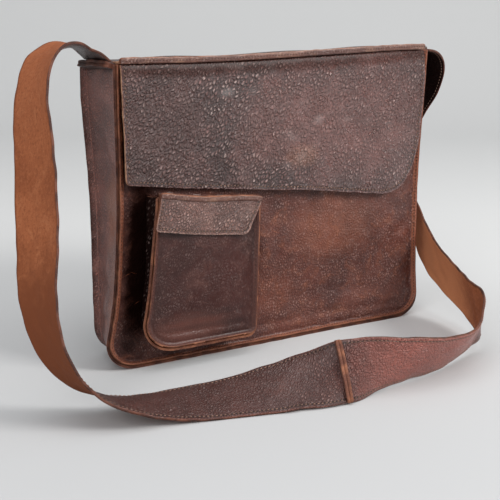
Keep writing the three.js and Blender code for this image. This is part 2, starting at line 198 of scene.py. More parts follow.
def settle(points):
    """The bag's slouch: it leans, its bottom corner kicks out, its back tucks under, its top sags
    and its faces swell. The pocket's left side splays as it comes forward."""
    p = np.array(points, float)
    x, y, z = p[..., 0].copy(), p[..., 1].copy(), p[..., 2].copy()
    up = np.clip(z / BAG_HEIGHT, 0, 1.05)
    side = x / HALF_WIDTH
    low = 1 - np.clip(z / BACK_TUCK_FROM, 0, 1)
    front = smooth(-y, 0.0, HALF_DEPTH)
    back = smooth(y, -0.010, HALF_DEPTH)
    outer = smooth(np.abs(side), 0.5, 1)
    p[..., 0] += FLOOR_SHIFT + LEAN * up
    p[..., 0] -= SIDES_PULLED_IN * side * bump(up, 0.55, 0.3) * outer
    p[..., 0] -= LEFT_CORNER_KICK * smooth(-side, 0.55, 1.0) * bump(z, 0.010, 0.045) * front
    p[..., 0] += RIGHT_CORNER_KICK * smooth(side, 0.7, 1.0) * bump(z, 0.0, 0.03)
    p[..., 0] += BACK_CORNER_SHIFT * back * low * smooth(-side, 0.4, 1.0)
    p[..., 1] -= BACK_TUCK * back * low**1.1
    swell = (1 - np.clip(np.abs(side), 0, 1) ** 2) * bump(up, 0.35, 0.4)
    p[..., 1] -= FRONT_SWELL * swell * front
    p[..., 1] += BACK_SWELL * swell * back
    p[..., 1] -= RIGHT_FOOT_FORWARD * front * smooth(side, 0.4, 1.0) * bump(z, 0.0, 0.05)
    p[..., 2] += up**3 * (-TOP_SAG * bump(side, -0.35, 0.5) + TOP_RIGHT_RISE * bump(side, 0.8, 0.3))
    p[..., 2] += -BACK_TOP_DROP * up**3 * back
    proud = smooth(-y, 0.042, 0.058)
    pocket_left = smooth(-x, 0.085, 0.155)
    p[..., 0] -= POCKET_SPLAY * proud * pocket_left * (1 - smooth(z, 0.02, 0.150))
    p[..., 0] += POCKET_TOP_PULL * proud * pocket_left * smooth(z, 0.12, 0.18)
    p[..., 2] += POCKET_RIGHT_RISE * proud * smooth(x, -0.14, -0.05) * smooth(z, 0.10, 0.165)
    p[..., 2] += POCKET_LEFT_RISE * proud * smooth(-x, 0.10, 0.16) * smooth(z, 0.10, 0.165)
    return p


# ---------------------------------------------------------------- meshes


def mesh_piece(name, verts, faces, uvs=None, rim=None, materials=(), face_materials=None):
    """A named object from plain arrays. uvs are flat leather coordinates in metres, one for each
    vertex, and rim is each vertex's distance to the nearest cut edge or seam, in metres."""
    mesh = bpy.data.meshes.new(name)
    mesh.from_pydata([tuple(v) for v in np.asarray(verts).reshape(-1, 3)], [], [list(f) for f in faces])
    for material in materials:
        mesh.materials.append(material)
    if face_materials is not None:
        mesh.polygons.foreach_set("material_index", np.asarray(face_materials, np.int32))
    mesh.polygons.foreach_set("use_smooth", np.ones(len(mesh.polygons), bool))
    if uvs is not None:
        layer = mesh.uv_layers.new(name="flat")
        corner = np.empty(len(mesh.loops), np.int32)
        mesh.loops.foreach_get("vertex_index", corner)
        layer.data.foreach_set("uv", np.asarray(uvs, np.float32).reshape(-1, 2)[corner].ravel())
    if rim is not None:
        attribute = mesh.attributes.new("rim", "FLOAT", "POINT")
        attribute.data.foreach_set("value", np.asarray(rim, np.float32).ravel())
    mesh.update()
    piece = bpy.data.objects.new(name, mesh)
    bpy.context.scene.collection.objects.link(piece)
    return piece


def baked(piece):
    """Applies the piece's modifiers."""
    bpy.context.view_layer.update()
    depsgraph = bpy.context.evaluated_depsgraph_get()
    mesh = bpy.data.meshes.new_from_object(piece.evaluated_get(depsgraph))
    piece.modifiers.clear()
    piece.data = mesh
    return piece


def thicken(piece, thickness=LEATHER, inner=1, rim=2):
    """Gives an outer surface its leather thickness, inward, with the flesh side and cut edges in
    the material slots that follow the grain's."""
    solid = piece.modifiers.new("thickness", "SOLIDIFY")
    solid.thickness = thickness
    solid.offset = -1
    solid.use_rim = True
    solid.material_offset = inner
    solid.material_offset_rim = rim
    return baked(piece)


def face_outward(piece, direction_of):
    """Flips the faces if most of them look against the given direction field."""
    mesh = piece.data
    score = 0.0
    for polygon in mesh.polygons:
        score += polygon.area * Vector(direction_of(polygon.center)).dot(polygon.normal)
    if score < 0:
        mesh.flip_normals()
    return piece


def grid_faces(rows, columns, offset=0):
    faces = []
    for i in range(rows - 1):
        for j in range(columns - 1):
            a = offset + i * columns + j
            faces.append((a, a + 1, a + columns + 1, a + columns))
    return faces


def coons(top, bottom, left, right):
    """Fills four edge lines with a grid: rows run from top to bottom."""
    rows, columns = len(left), len(top)
    s = (lengths_along(top) / lengths_along(top)[-1])[None, :, None]
    t = (lengths_along(left) / lengths_along(left)[-1])[:, None, None]
    ruled = (1 - t) * top[None] + t * bottom[None] + (1 - s) * left[:, None] + s * right[:, None]
    corners = (
        (1 - s) * (1 - t) * top[0]
        + s * (1 - t) * top[-1]
        + (1 - s) * t * bottom[0]
        + s * t * bottom[-1]
    )
    grid = ruled - corners
    assert grid.shape[:2] == (rows, columns)
    return grid


def ring_of(rows, columns):
    """Grid indices from the top left corner down the left, along the bottom and up the right."""
    ring = [(i, 0) for i in range(rows)]
    ring += [(rows - 1, j) for j in range(1, columns)]
    ring += [(i, columns - 1) for i in range(rows - 2, -1, -1)]
    return ring


def distance_to_line(points, line):
    """Each 2-D point's distance to a line of points."""
    a, b = line[:-1], line[1:]
    ab = b - a
    length = np.maximum((ab**2).sum(1), 1e-12)
    best = np.full(len(points), 1e9)
    for start in range(0, len(points), 2000):
        q = points[start : start + 2000]
        t = np.clip(((q[:, None] - a) * ab).sum(2) / length, 0, 1)
        d = np.linalg.norm(q[:, None] - (a + t[..., None] * ab), axis=2)
        best[start : start + 2000] = d.min(1)
    return best


# ---------------------------------------------------------------- seams


def seam_line(left, right, bottom, top_left, top_right, radius, right_radius=None):
    """A dense seam line: x, z, outward x and z, and turn (0 on the sides, 1 along the bottom).
    It runs down the left, round the bottom and up the right."""
    rows = []
    tight = radius if right_radius is None else right_radius
    for z in np.linspace(top_left, bottom + radius, 60, endpoint=False):
        rows.append((left, z, -1, 0, 0))
    for angle in np.linspace(math.pi, 1.5 * math.pi, 24, endpoint=False):
        out = (math.cos(angle), math.sin(angle))
        rows.append((left + radius * (1 + out[0]), bottom + radius * (1 + out[1]), *out, -out[1]))
    for x in np.linspace(left + radius, right - tight, 60, endpoint=False):
        rows.append((x, bottom, 0, -1, 1))
    for angle in np.linspace(1.5 * math.pi, 2 * math.pi, 24, endpoint=False):
        out = (math.cos(angle), math.sin(angle))
        rows.append((right - tight * (1 - out[0]), bottom + tight * (1 + out[1]), *out, -out[1]))
    for z in np.linspace(bottom + tight, top_right, 60):
        rows.append((right, z, 1, 0, 0))
    return np.array(rows, float)


def seam_ring(line, rows, columns):
    """The seam line resampled for a grid of that many rows and columns, corners at mid arc."""
    split_left = int(np.argmin(np.abs(line[:84, 4] - math.sqrt(0.5))))
    split_right = 144 + int(np.argmin(np.abs(line[144:, 4] - math.sqrt(0.5))))
    stretches = [
        (line[: split_left + 1], rows),
        (line[split_left : split_right + 1], columns),
        (line[split_right:], rows),
    ]
    out = []
    for k, (stretch, count) in enumerate(stretches):
        part = resample(stretch[:, :2], count, stretch[:, 2:])
        out.append(part if k == 0 else part[1:])
    ring = np.vstack(out)
    ring[:, 2:4] = unit(ring[:, 2:4])
    return ring


def seam_point(ring, side, out, deep):
    """Points out from the seam line and deep from the bag's middle plane, one for each ring row."""
    x = ring[:, 0] + out * ring[:, 2]
    z = ring[:, 1] + out * ring[:, 3]
    return np.stack([x, side * deep * np.ones_like(x), z], -1)


def lip_point(ring, side, seam, layer, along):
    """Points in a turned-out lip: layer across the seam, along towards the lip's cut edge."""
    turn = ring[:, 4]
    angle = LIP_ANGLE_SIDE + (LIP_ANGLE_BOTTOM - LIP_ANGLE_SIDE) * turn
    start = -HALF_LAYER * turn
    out = start + layer * np.sin(angle) + along * np.cos(angle)
    deep = seam - layer * np.cos(angle) + along * np.sin(angle)
    return seam_point(ring, side, out, deep)


def fold_reach(ring, layer):
    """How far along the lip its outer face meets the flat panel's face."""
    angle = LIP_ANGLE_SIDE + (LIP_ANGLE_BOTTOM - LIP_ANGLE_SIDE) * ring[:, 4]
    return layer * (1 - np.cos(angle)) / np.sin(angle)


def unevenness(ring, size, seed, amount):
    """A small random offset for each point of a ring, smooth along it."""
    along = lengths_along(ring[:, :2])[:, None]
    return amount * waves(along, size, seed, 8)


def lipped_sheet(name, line, side, seam, lip, rows, columns, relief, materials, seed):
    """A panel with its turned-out lip, grain side out. relief gives the panel's own swelling
    and creases, outward in metres, from flat x and z and the distance to the seam."""
    ring = seam_ring(line, rows, columns)
    layer = HALF_LAYER
    reach = fold_reach(ring, layer)
    fold_out = lip_point(ring, side, seam, -layer, reach)
    face = seam + layer
    outward = np.stack([ring[:, 2], np.zeros(len(ring)), ring[:, 3]], -1)
    edge = fold_out - outward * 0.0025
    edge2 = edge[:, [0, 2]]
    left = edge2[:rows]
    bottom = edge2[rows - 1 : rows + columns - 1]
    right = edge2[rows + columns - 2 :][::-1]
    top = np.stack([np.linspace(a, b, columns) for a, b in zip(left[0], right[0])], -1)
    grid = coons(top, bottom, left, right)
    flat = grid.reshape(-1, 2)
    ring2 = fold_out[:, [0, 2]]
    inset = distance_to_line(flat, ring2)
    verts = [np.stack([flat[:, 0], np.full(len(flat), side * face), flat[:, 1]], -1)]
    verts[0][:, 1] += side * relief(flat[:, 0], flat[:, 1], inset)
    uvs = [flat]
    rims = [inset]
    wobble = unevenness(ring, LIP_WOBBLE_LENGTH, seed, LIP_WOBBLE)[:, None]
    stations = [
        (fold_out - outward * FOLD_ROLL, FOLD_ROLL, 0.0),
        (lip_point(ring, side, seam, -layer, reach + FOLD_ROLL), -FOLD_ROLL, 0.3),
        (lip_point(ring, side, seam, -layer, reach * 0.4 + lip * 0.6), -0.003, 0.7),
        (lip_point(ring, side, seam, -layer, lip - 2 * EDGE_ROUNDING), -0.0045, 1.0),
        (lip_point(ring, side, seam, -layer + EDGE_ROUNDING, lip), -0.005, 1.0),
    ]
    for points, distance, share in stations:
        verts.append(points + outward * wobble * share)
        uvs.append(ring2 - distance * ring[:, 2:4])
        rims.append(np.full(len(ring), max(distance, 0.0)))
    faces = grid_faces(rows, columns)
    inner = [i * columns + j for i, j in ring_of(rows, columns)]
    offset = rows * columns
    for k in range(len(stations)):
        outer = list(range(offset + k * len(ring), offset + (k + 1) * len(ring)))
        for m in range(len(ring) - 1):
            faces.append((inner[m], inner[m + 1], outer[m + 1], outer[m]))
        inner = outer
    piece = mesh_piece(
        name, settle(np.vstack(verts)), faces, np.vstack(uvs), np.concatenate(rims), materials
    )
    face_outward(piece, lambda centre: (0, side, 0))
    return thicken(piece)


def lipped_wall(name, line, seam_front, seam_back, lips, relief, materials, along_count, seed):
    """The wall round a bag or pocket, grain side out, with a lip at the front and, if seam_back
    is a seam and not a plain edge, at the back."""
    ring = resample(line[:, :2], along_count, line[:, 2:])
    ring[:, 2:4] = unit(ring[:, 2:4])
    layer = HALF_LAYER
    along = lengths_along(ring[:, :2])
    wobble = unevenness(ring, LIP_WOBBLE_LENGTH, seed, LIP_WOBBLE)[:, None]
    outward = np.stack([ring[:, 2], np.zeros(len(ring)), ring[:, 3]], -1)
    turn = ring[:, 4]
    angle = LIP_ANGLE_SIDE + (LIP_ANGLE_BOTTOM - LIP_ANGLE_SIDE) * turn
    meet = -(layer * np.sin(angle) - HALF_LAYER * turn) / np.maximum(np.cos(angle), 0.02)
    meet = np.maximum(meet, -0.0045)
    columns = []

    def lip_column(side, seam, lip, share):
        depth = layer - (EDGE_ROUNDING if share == 1 else 0)
        return lip_point(ring, side, seam, depth, lip * share) + outward * wobble * share

    for share in (1.0, 0.93, 0.6, 0.25):
        columns.append((lip_column(-1, seam_front, lips[0], share), 0.0))
    columns.append((lip_point(ring, -1, seam_front, layer, meet * 0.5), 0.0))
    deep_front = seam_front - WALL_START
    deep_back = seam_back - WALL_START if lips[1] else seam_back
    for deep in np.linspace(-deep_front, deep_back, 17):
        middle = seam_point(ring, 1, 0.0, deep)
        inset = min(deep + seam_front, (seam_back - deep) if lips[1] else 1.0)
        middle += outward * relief(ring[:, 0], ring[:, 1], deep, turn)[:, None]
        columns.append((middle, inset))
    if lips[1]:
        columns.append((lip_point(ring, 1, seam_back, layer, meet * 0.5), 0.0))
        for share in (0.25, 0.6, 0.93, 1.0):
            columns.append((lip_column(1, seam_back, lips[1], share), BACK_LIP_RIM))
    verts = np.stack([c[0] for c in columns], 1)
    widths = [
        float(np.linalg.norm(verts[:, k + 1] - verts[:, k], axis=1).mean())
        for k in range(len(columns) - 1)
    ]
    across = np.cumsum([0.0] + widths)
    uvs = np.stack(np.broadcast_arrays(across[None, :], along[:, None]), -1)
    rims = np.broadcast_to(np.array([c[1] for c in columns])[None, :], verts.shape[:2])
    piece = mesh_piece(
        name, settle(verts), grid_faces(len(ring), len(columns)), uvs, rims, materials
    )
    centre = Vector(((ring[0, 0] + ring[-1, 0]) / 2, 0, (ring[:, 1].min() + ring[:, 1].max()) / 2))
    face_outward(piece, lambda at: (at.x - centre.x, 0, at.z - centre.z))
    return thicken(piece)


# ---------------------------------------------------------------- stitches

STITCH_SHARE = 0.58
STITCH_SLANT = 0.12


def capsule(sides=6):
    """A plump stitch along X, unit length and unit radius, as vertices and faces."""
    profile = [(-0.5, 0.0), (-0.42, 0.75), (-0.2, 1.0), (0.2, 1.0), (0.42, 0.75), (0.5, 0.0)]
    verts = [(profile[0][0], 0, 0)]
    for x, r in profile[1:-1]:
        for k in range(sides):
            angle = 2 * math.pi * k / sides
            verts.append((x, r * math.cos(angle), r * math.sin(angle)))
    verts.append((profile[-1][0], 0, 0))
    faces = []
    for k in range(sides):
        nxt = (k + 1) % sides
        faces.append((0, 1 + nxt, 1 + k))
        for ring in range(len(profile) - 3):
            a = 1 + ring * sides
            faces.append((a + k, a + nxt, a + sides + nxt, a + sides + k))
        last = 1 + (len(profile) - 3) * sides
        faces.append((last + k, last + nxt, len(verts) - 1))
    return np.array(verts, float), faces


def stitch_row(name, line, normals, material, spacing=0.0036, radius=0.00040, lift=0.0001):
    """A row of separate stitches along a line of points on the leather."""
    along = lengths_along(line)
    count = max(int(along[-1] / spacing), 2)
    at = (np.arange(count) + 0.5) * along[-1] / count
    place = read_at(at, along, line)
    normal = unit(read_at(at, along, normals))
    ahead = read_at(at + 0.001, along, line)
    behind = read_at(at - 0.001, along, line)
    tangent = unit(ahead - behind)
    across = unit(np.cross(normal, tangent))
    source = np.random.default_rng(len(name) * 31 + count)
    turn = STITCH_SLANT + 0.05 * source.normal(size=count)
    x_axis = unit(tangent + across * turn[:, None])
    y_axis = unit(np.cross(normal, x_axis))
    shape, faces = capsule()
    size = spacing * STITCH_SHARE * source.uniform(0.92, 1.06, count)
    verts = (
        place[:, None] + normal[:, None] * lift
        + x_axis[:, None] * (shape[:, 0][None, :, None] * size[:, None, None])
        + y_axis[:, None] * (shape[:, 1][None, :, None] * radius * 1.15)
        + normal[:, None] * (shape[:, 2][None, :, None] * radius)
    )
    all_faces = []
    for k in range(count):
        base = k * len(shape)
        all_faces += [tuple(base + v for v in face) for face in faces]
    uvs = np.stack([verts[..., 0].ravel(), verts[..., 2].ravel()], -1)
    return mesh_piece(name, verts, all_faces, uvs, None, [material])


# ---------------------------------------------------------------- materials


class Graph:
    """A short way of writing a node material."""

    def __init__(self, name):
        self.material = bpy.data.materials.new(name)
        self.material.use_nodes = True
        self.nodes = self.material.node_tree.nodes
        self.links = self.material.node_tree.links
        self.nodes.clear()

    def put(self, socket, value):
        if isinstance(value, bpy.types.NodeSocket):
            self.links.new(value, socket)
        elif isinstance(value, (tuple, list)) and len(value) == 3 and socket.type == "RGBA":
            socket.default_value = (*value, 1.0)
        else:
            socket.default_value = value

    def add(self, kind, settings=None, **inputs):
        node = self.nodes.new(kind)
        for key, value in (settings or {}).items():
            setattr(node, key, value)
        for key, value in inputs.items():
            self.put(node.inputs[key.replace("_", " ")], value)
        return node

    def math(self, operation, a, b=0.0, clamp=False):
        node = self.nodes.new("ShaderNodeMath")
        node.operation = operation
        node.use_clamp = clamp
        self.put(node.inputs[0], a)
        self.put(node.inputs[1], b)
        return node.outputs[0]

    def times(self, a, b):
        return self.math("MULTIPLY", a, b)

    def plus(self, a, b):
        return self.math("ADD", a, b)

    def minus(self, a, b):
        return self.math("SUBTRACT", a, b)

    def mix(self, factor, a, b):
        node = self.nodes.new("ShaderNodeMix")
        node.data_type = "RGBA"
        self.put(node.inputs[0], factor)
        self.put(node.inputs[6], a)
        self.put(node.inputs[7], b)
        return node.outputs[2]

    def step(self, value, low, high, to_low=0.0, to_high=1.0):
        node = self.add("ShaderNodeMapRange", {"interpolation_type": "SMOOTHSTEP"})
        for k, v in enumerate((value, low, high, to_low, to_high)):
            self.put(node.inputs[k], v)
        return node.outputs[0]

    def flat(self, shift=(0, 0, 0)):
        """Leather coordinates, in metres, as the piece was cut."""
        uv = self.add("ShaderNodeUVMap", {"uv_map": "flat"}).outputs[0]
        return self.add("ShaderNodeMapping", Vector=uv, Location=shift).outputs[0]

    def slanted(self, turn, stretch, shift=(0, 0, 0)):
        """Leather coordinates in which a texture comes out drawn along the turned direction."""
        uv = self.add("ShaderNodeUVMap", {"uv_map": "flat"}).outputs[0]
        return self.add(
            "ShaderNodeMapping", {"vector_type": "TEXTURE"}, Vector=uv, Rotation=(0, 0, turn),
            Scale=(1.0, 1.0 / stretch, 1.0), Location=shift,
        ).outputs[0]

    def noise(self, vector, scale, detail=3.0, rough=0.55, distort=0.0):
        return self.add(
            "ShaderNodeTexNoise", Vector=vector, Scale=scale, Detail=detail, Roughness=rough,
            Distortion=distort,
        ).outputs[0]

    def pebbles(self, vector, scale):
        """The distance from the furrows between pebbles."""
        settings = {"feature": "DISTANCE_TO_EDGE"}
        return self.add("ShaderNodeTexVoronoi", settings, Vector=vector, Scale=scale).outputs[0]

    def finish(self, colour, rough, normal, **more):
        shader = self.add("ShaderNodeBsdfPrincipled", Base_Color=colour, Roughness=rough, Normal=normal)
        for key, value in more.items():
            self.put(shader.inputs[key.replace("_", " ")], value)
        out = self.add("ShaderNodeOutputMaterial")
        self.links.new(shader.outputs[0], out.inputs[0])
        return self.material


def shade(colour, amount):
    return tuple(min(c * amount, 1.0) for c in colour)


# The pale colour of the pebble tops: partly rubbed wear, partly a painted highlight.
PALE_TIP_AND_HIGHLIGHT = (0.42, 0.305, 0.275)


def grain_leather(
    name, base, deep, worn, pebble=1.0, scratches=0.5, stains_and_painted_light=(), rough=0.42, seed=0.0,
    groove=0.0, shine=0.6, cell=200.0, slant=1.0, relief=0.0015, tips_and_highlights=0.35,
):
    """Waxed, pebbled leather. base, deep and worn are its colour, its hollows' and its rubbed
    places'. cell is the pebbles' number in a metre, and slant is their direction. The patch
    list holds (u, v, radius u, radius v, colour, strength, dulling) patches: real stains, and
    also painted shade and painted highlights, with dulling taking the gloss off a patch. The
    tip strength paints the pebble tops pale, partly rubbed wear and partly a painted highlight.
    groove is how far inside the cut edge the stitches pull it down, and that groove is also
    painted darker, a painted shade."""
    g = Graph(name)
    plain = g.flat(shift=(seed, seed * 0.7, 0))
    drift = g.add("ShaderNodeTexNoise", Vector=plain, Scale=16.0, Detail=2.0, Roughness=0.5).outputs[1]
    bent = g.add("ShaderNodeVectorMath", {"operation": "SCALE"})
    g.put(bent.inputs[0], drift)
    bent.inputs["Scale"].default_value = 0.016
    slanted = g.slanted(slant, 1.75, (seed, 0, 0))
    moved = g.add("ShaderNodeVectorMath", {"operation": "ADD"})
    g.put(moved.inputs[0], slanted)
    g.put(moved.inputs[1], bent.outputs[0])
    cells = g.pebbles(moved.outputs[0], cell)
    cell_top = g.step(cells, 0.0, 0.34)
    small_top = g.step(g.pebbles(moved.outputs[0], cell * 2.1), 0.0, 0.35)
    fine = g.noise(plain, 1500.0, 2.0)
    broad = g.noise(plain, 17.0, 5.0, 0.6, 0.4)
    blotch = g.noise(plain, 55.0, 5.0, 0.65, 0.8)
    where = g.step(g.noise(plain, 30.0, 3.0), 0.32, 0.60, 0.55, 1.0)

    long_way = g.slanted(0.5, 14.0, (seed, 3.1, 0))
    scratch_a = g.step(g.noise(long_way, 26.0, 6.0, 0.7), 0.66, 0.72)
    other_way = g.slanted(-0.4, 20.0, (seed, 5.7, 0))
    scratch_b = g.step(g.noise(other_way, 19.0, 6.0, 0.7), 0.67, 0.72)
    scratch = g.math("MULTIPLY", g.math("MAXIMUM", scratch_a, scratch_b), scratches, True)

    rim = g.add("ShaderNodeAttribute", {"attribute_name": "rim"}).outputs["Fac"]
    ragged = g.plus(rim, g.times(g.minus(blotch, 0.5), 0.004))
    rubbed_edge = g.step(ragged, 0.0, 0.0016, 1.0, 0.0)
    beside_seam = g.step(ragged, 0.0005, 0.010, 1.0, 0.0)

    colour = g.mix(g.step(broad, 0.34, 0.68), deep, base)
    colour = g.mix(g.times(g.step(blotch, 0.48, 0.72), 0.6), colour, worn)
    colour = g.mix(g.times(beside_seam, 0.35), colour, deep)
    hollow = g.times(g.minus(1.0, cell_top), min(0.95 * pebble, 0.95))
    colour = g.mix(g.times(hollow, where), colour, shade(deep, 0.35))
    # Pale pebble tops, partly rubbed wear and partly a painted highlight, gathered in clusters where the
    # light catches.
    tip_and_highlight = g.times(g.step(cells, 0.16, 0.36), g.step(g.noise(plain, 90.0, 4.0, 0.7), 0.38, 0.62))
    colour = g.mix(g.times(g.times(tip_and_highlight, where), tips_and_highlights), colour, PALE_TIP_AND_HIGHLIGHT)
    # dull takes the gloss off the dulled patches, which are mostly painted shade.
    dull = 0.0
    for u, v, ru, rv, tint, strength, dulling in stains_and_painted_light:
        parts = g.add("ShaderNodeSeparateXYZ", Vector=g.flat())
        du = g.math("DIVIDE", g.minus(parts.outputs[0], u), ru)
        dv = g.math("DIVIDE", g.minus(parts.outputs[1], v), rv)
        far = g.math("SQRT", g.plus(g.times(du, du), g.times(dv, dv)))
        far = g.plus(far, g.times(g.minus(blotch, 0.5), 0.7))
        there = g.times(g.step(far, 0.4, 1.05, 1.0, 0.0), strength)
        colour = g.mix(there, colour, tint)
        if dulling:
            dull = g.math("MAXIMUM", there, dull)
    colour = g.mix(scratch, colour, shade(worn, 1.5))
    colour = g.mix(g.times(rubbed_edge, 0.7), colour, shade(worn, 1.1))

    height = g.times(g.times(cell_top, where), 1.0 * pebble)
    height = g.plus(height, g.times(small_top, 0.22 * pebble))
    height = g.plus(height, g.times(fine, 0.10))
    height = g.plus(height, g.times(blotch, 0.4))
    height = g.minus(height, g.times(scratch, 0.15))
    if groove:
        off_line = g.math("ABSOLUTE", g.minus(rim, groove))
        in_groove = g.step(off_line, 0.0001, 0.0009, 1.0, 0.0)
        height = g.minus(height, g.times(in_groove, 0.9))
        # The groove is painted darker too: painted shade in the stitch groove.
        colour = g.mix(g.times(in_groove, 0.75), colour, shade(deep, 0.22))
    normal = g.add("ShaderNodeBump", Strength=1.0, Distance=relief, Height=height).outputs[0]
    gloss = g.step(blotch, 0.3, 0.75, rough - 0.06, rough + 0.14)
    gleam = g.minus(1.0, dull)
    return g.finish(
        colour, gloss, normal, Specular_IOR_Level=g.times(gleam, shine),
        Coat_Weight=g.times(gleam, 0.35 * shine), Coat_Roughness=0.28,
    )


def flesh_leather(name, base, deep, pale, seed=0.0, darker=(), lighter=()):
    """The flesh side: napped, fibrous and matt. darker and lighter are lengths of it, as
    (middle, reach, strength)."""
    g = Graph(name)
    plain = g.flat(shift=(seed, seed, 0))
    nap = g.noise(plain, 1900.0, 4.0, 0.7, 0.5)
    fibres = g.noise(g.slanted(0.2, 3.0, (seed, 0, 0)), 420.0, 5.0, 0.7, 1.0)
    broad = g.noise(plain, 16.0, 5.0, 0.6, 0.6)
    patches = g.noise(plain, 75.0, 5.0, 0.65, 0.8)
    rim = g.add("ShaderNodeAttribute", {"attribute_name": "rim"}).outputs["Fac"]
    ragged = g.plus(rim, g.times(g.minus(patches, 0.5), 0.005))
    colour = g.mix(g.step(broad, 0.36, 0.66), deep, base)
    colour = g.mix(g.times(g.step(patches, 0.5, 0.72), 0.45), colour, pale)
    colour = g.mix(g.times(g.step(fibres, 0.5, 0.75), 0.30), colour, pale)
    colour = g.mix(g.times(g.step(nap, 0.55, 0.35), 0.25), colour, deep)
    grit = g.noise(plain, 330.0, 4.0, 0.75)
    colour = g.mix(g.times(g.step(grit, 0.50, 0.66), 0.60), colour, shade(deep, 0.55))
    colour = g.mix(g.times(g.step(grit, 0.46, 0.34), 0.45), colour, pale)
    colour = g.mix(g.times(g.step(ragged, 0.0, 0.0030, 1.0, 0.0), 0.75), colour, shade(deep, 0.5))
    along = g.add("ShaderNodeSeparateXYZ", Vector=g.flat()).outputs[0]
    lengths = [(*length, shade(deep, 0.62)) for length in darker]
    lengths += [(*length, shade(pale, 1.15)) for length in lighter]
    for middle, reach, strength, tint in lengths:
        far = g.math("ABSOLUTE", g.math("DIVIDE", g.minus(along, middle), reach))
        far = g.plus(far, g.times(g.minus(patches, 0.5), 0.5))
        colour = g.mix(g.times(g.step(far, 0.3, 1.05, 1.0, 0.0), strength), colour, tint)
    height = g.plus(g.times(nap, 0.5), g.times(fibres, 0.9))
    height = g.plus(height, g.times(patches, 0.8))
    normal = g.add("ShaderNodeBump", Strength=0.8, Distance=0.0005, Height=height).outputs[0]
    return g.finish(colour, 0.92, normal, Specular_IOR_Level=0.12)


def cut_edge(name, base, dark):
    """The raw cut edge of the leather: layered fibres, rubbed darker in places."""
    g = Graph(name)
    place = g.add("ShaderNodeTexCoord").outputs["Object"]
    fibres = g.noise(place, 900.0, 4.0, 0.7)
    broad = g.noise(place, 70.0, 4.0, 0.6)
    colour = g.mix(g.step(broad, 0.4, 0.62), dark, base)
    colour = g.mix(g.times(g.step(fibres, 0.45, 0.7), 0.4), colour, shade(base, 1.35))
    normal = g.add("ShaderNodeBump", Strength=0.8, Distance=0.0004, Height=fibres).outputs[0]
    return g.finish(colour, 0.72, normal, Specular_IOR_Level=0.35)


def thread_material(name, base):
    """Twisted waxed thread."""
    g = Graph(name)
    place = g.add("ShaderNodeTexCoord").outputs["Object"]
    twist = g.noise(place, 2600.0, 2.0, 0.6)
    tone = g.noise(place, 60.0, 3.0)
    colour = g.mix(g.step(tone, 0.35, 0.65), shade(base, 0.62), base)
    normal = g.add("ShaderNodeBump", Strength=0.6, Distance=0.0002, Height=twist).outputs[0]
    return g.finish(colour, 0.62, normal, Specular_IOR_Level=0.4)


FLESH = flesh_leather("flesh_side", (0.34, 0.105, 0.042), (0.195, 0.055, 0.022), (0.46, 0.175, 0.080))
EDGE = cut_edge("cut_edge", (0.26, 0.100, 0.052), (0.10, 0.033, 0.020))
EDGE_DARK = cut_edge("cut_edge_dark", (0.13, 0.045, 0.026), (0.040, 0.013, 0.009))
EDGE_PALE = cut_edge("cut_edge_pale", (0.46, 0.25, 0.15), (0.22, 0.10, 0.06))
THREAD = thread_material("thread_pale", (0.26, 0.145, 0.105))
THREAD_DARK = thread_material("thread_dark", (0.075, 0.028, 0.020))

# Flesh-side lengths: the darker one at 1.20 is painted shade inside the right arch and the lighter one at
# 1.01 is painted light where the strap rises in the bag's shade; the others are only darker down the left
# loop.
STRAP_FLESH = flesh_leather(
    "strap_flesh_side", (0.42, 0.138, 0.058), (0.27, 0.080, 0.033), (0.56, 0.225, 0.105), seed=1.9,
    darker=((0.17, 0.30, 0.42), (0.34, 0.07, 0.8), (0.39, 0.13, 0.92), (1.20, 0.13, 0.5)),
    lighter=((1.01, 0.10, 0.75),),
)
# A near-black used only for painted shade.
PAINTED_SHADE_BLACK = (0.006, 0.002, 0.0015)
# Front panel patches: the two near-black ones are painted shade beside the pocket's left wall and under
# the flap's left edge, the thin dark band at v 0.186 is a painted shadow under the flap's bottom edge,
# the patch at u -0.036 is only darker beside the pocket's right side, and the last two are lighter tone.
FRONT = grain_leather(
    "front_leather", (0.150, 0.040, 0.024), (0.074, 0.017, 0.011), (0.28, 0.088, 0.042),
    pebble=0.55, scratches=0.7, seed=1.3, shine=0.40, rough=0.45, cell=260.0, relief=0.0013,
    stains_and_painted_light=[
        (-0.168, 0.115, 0.026, 0.135, PAINTED_SHADE_BLACK, 0.99, 1),
        (-0.186, 0.250, 0.014, 0.080, PAINTED_SHADE_BLACK, 0.95, 1),
        (0.0, 0.186, 0.230, 0.012, (0.035, 0.009, 0.006), 0.75, 1),
        (-0.036, 0.090, 0.016, 0.090, (0.060, 0.015, 0.010), 0.5, 1),
        (0.070, 0.120, 0.070, 0.045, (0.30, 0.095, 0.046), 0.24, 0),
        (-0.005, 0.055, 0.030, 0.025, (0.26, 0.070, 0.030), 0.16, 0),
    ],
)
BACK = grain_leather(
    "back_leather", (0.150, 0.050, 0.035), (0.075, 0.022, 0.015), (0.26, 0.100, 0.060),
    seed=4.1, pebble=0.8, shine=0.4,
)
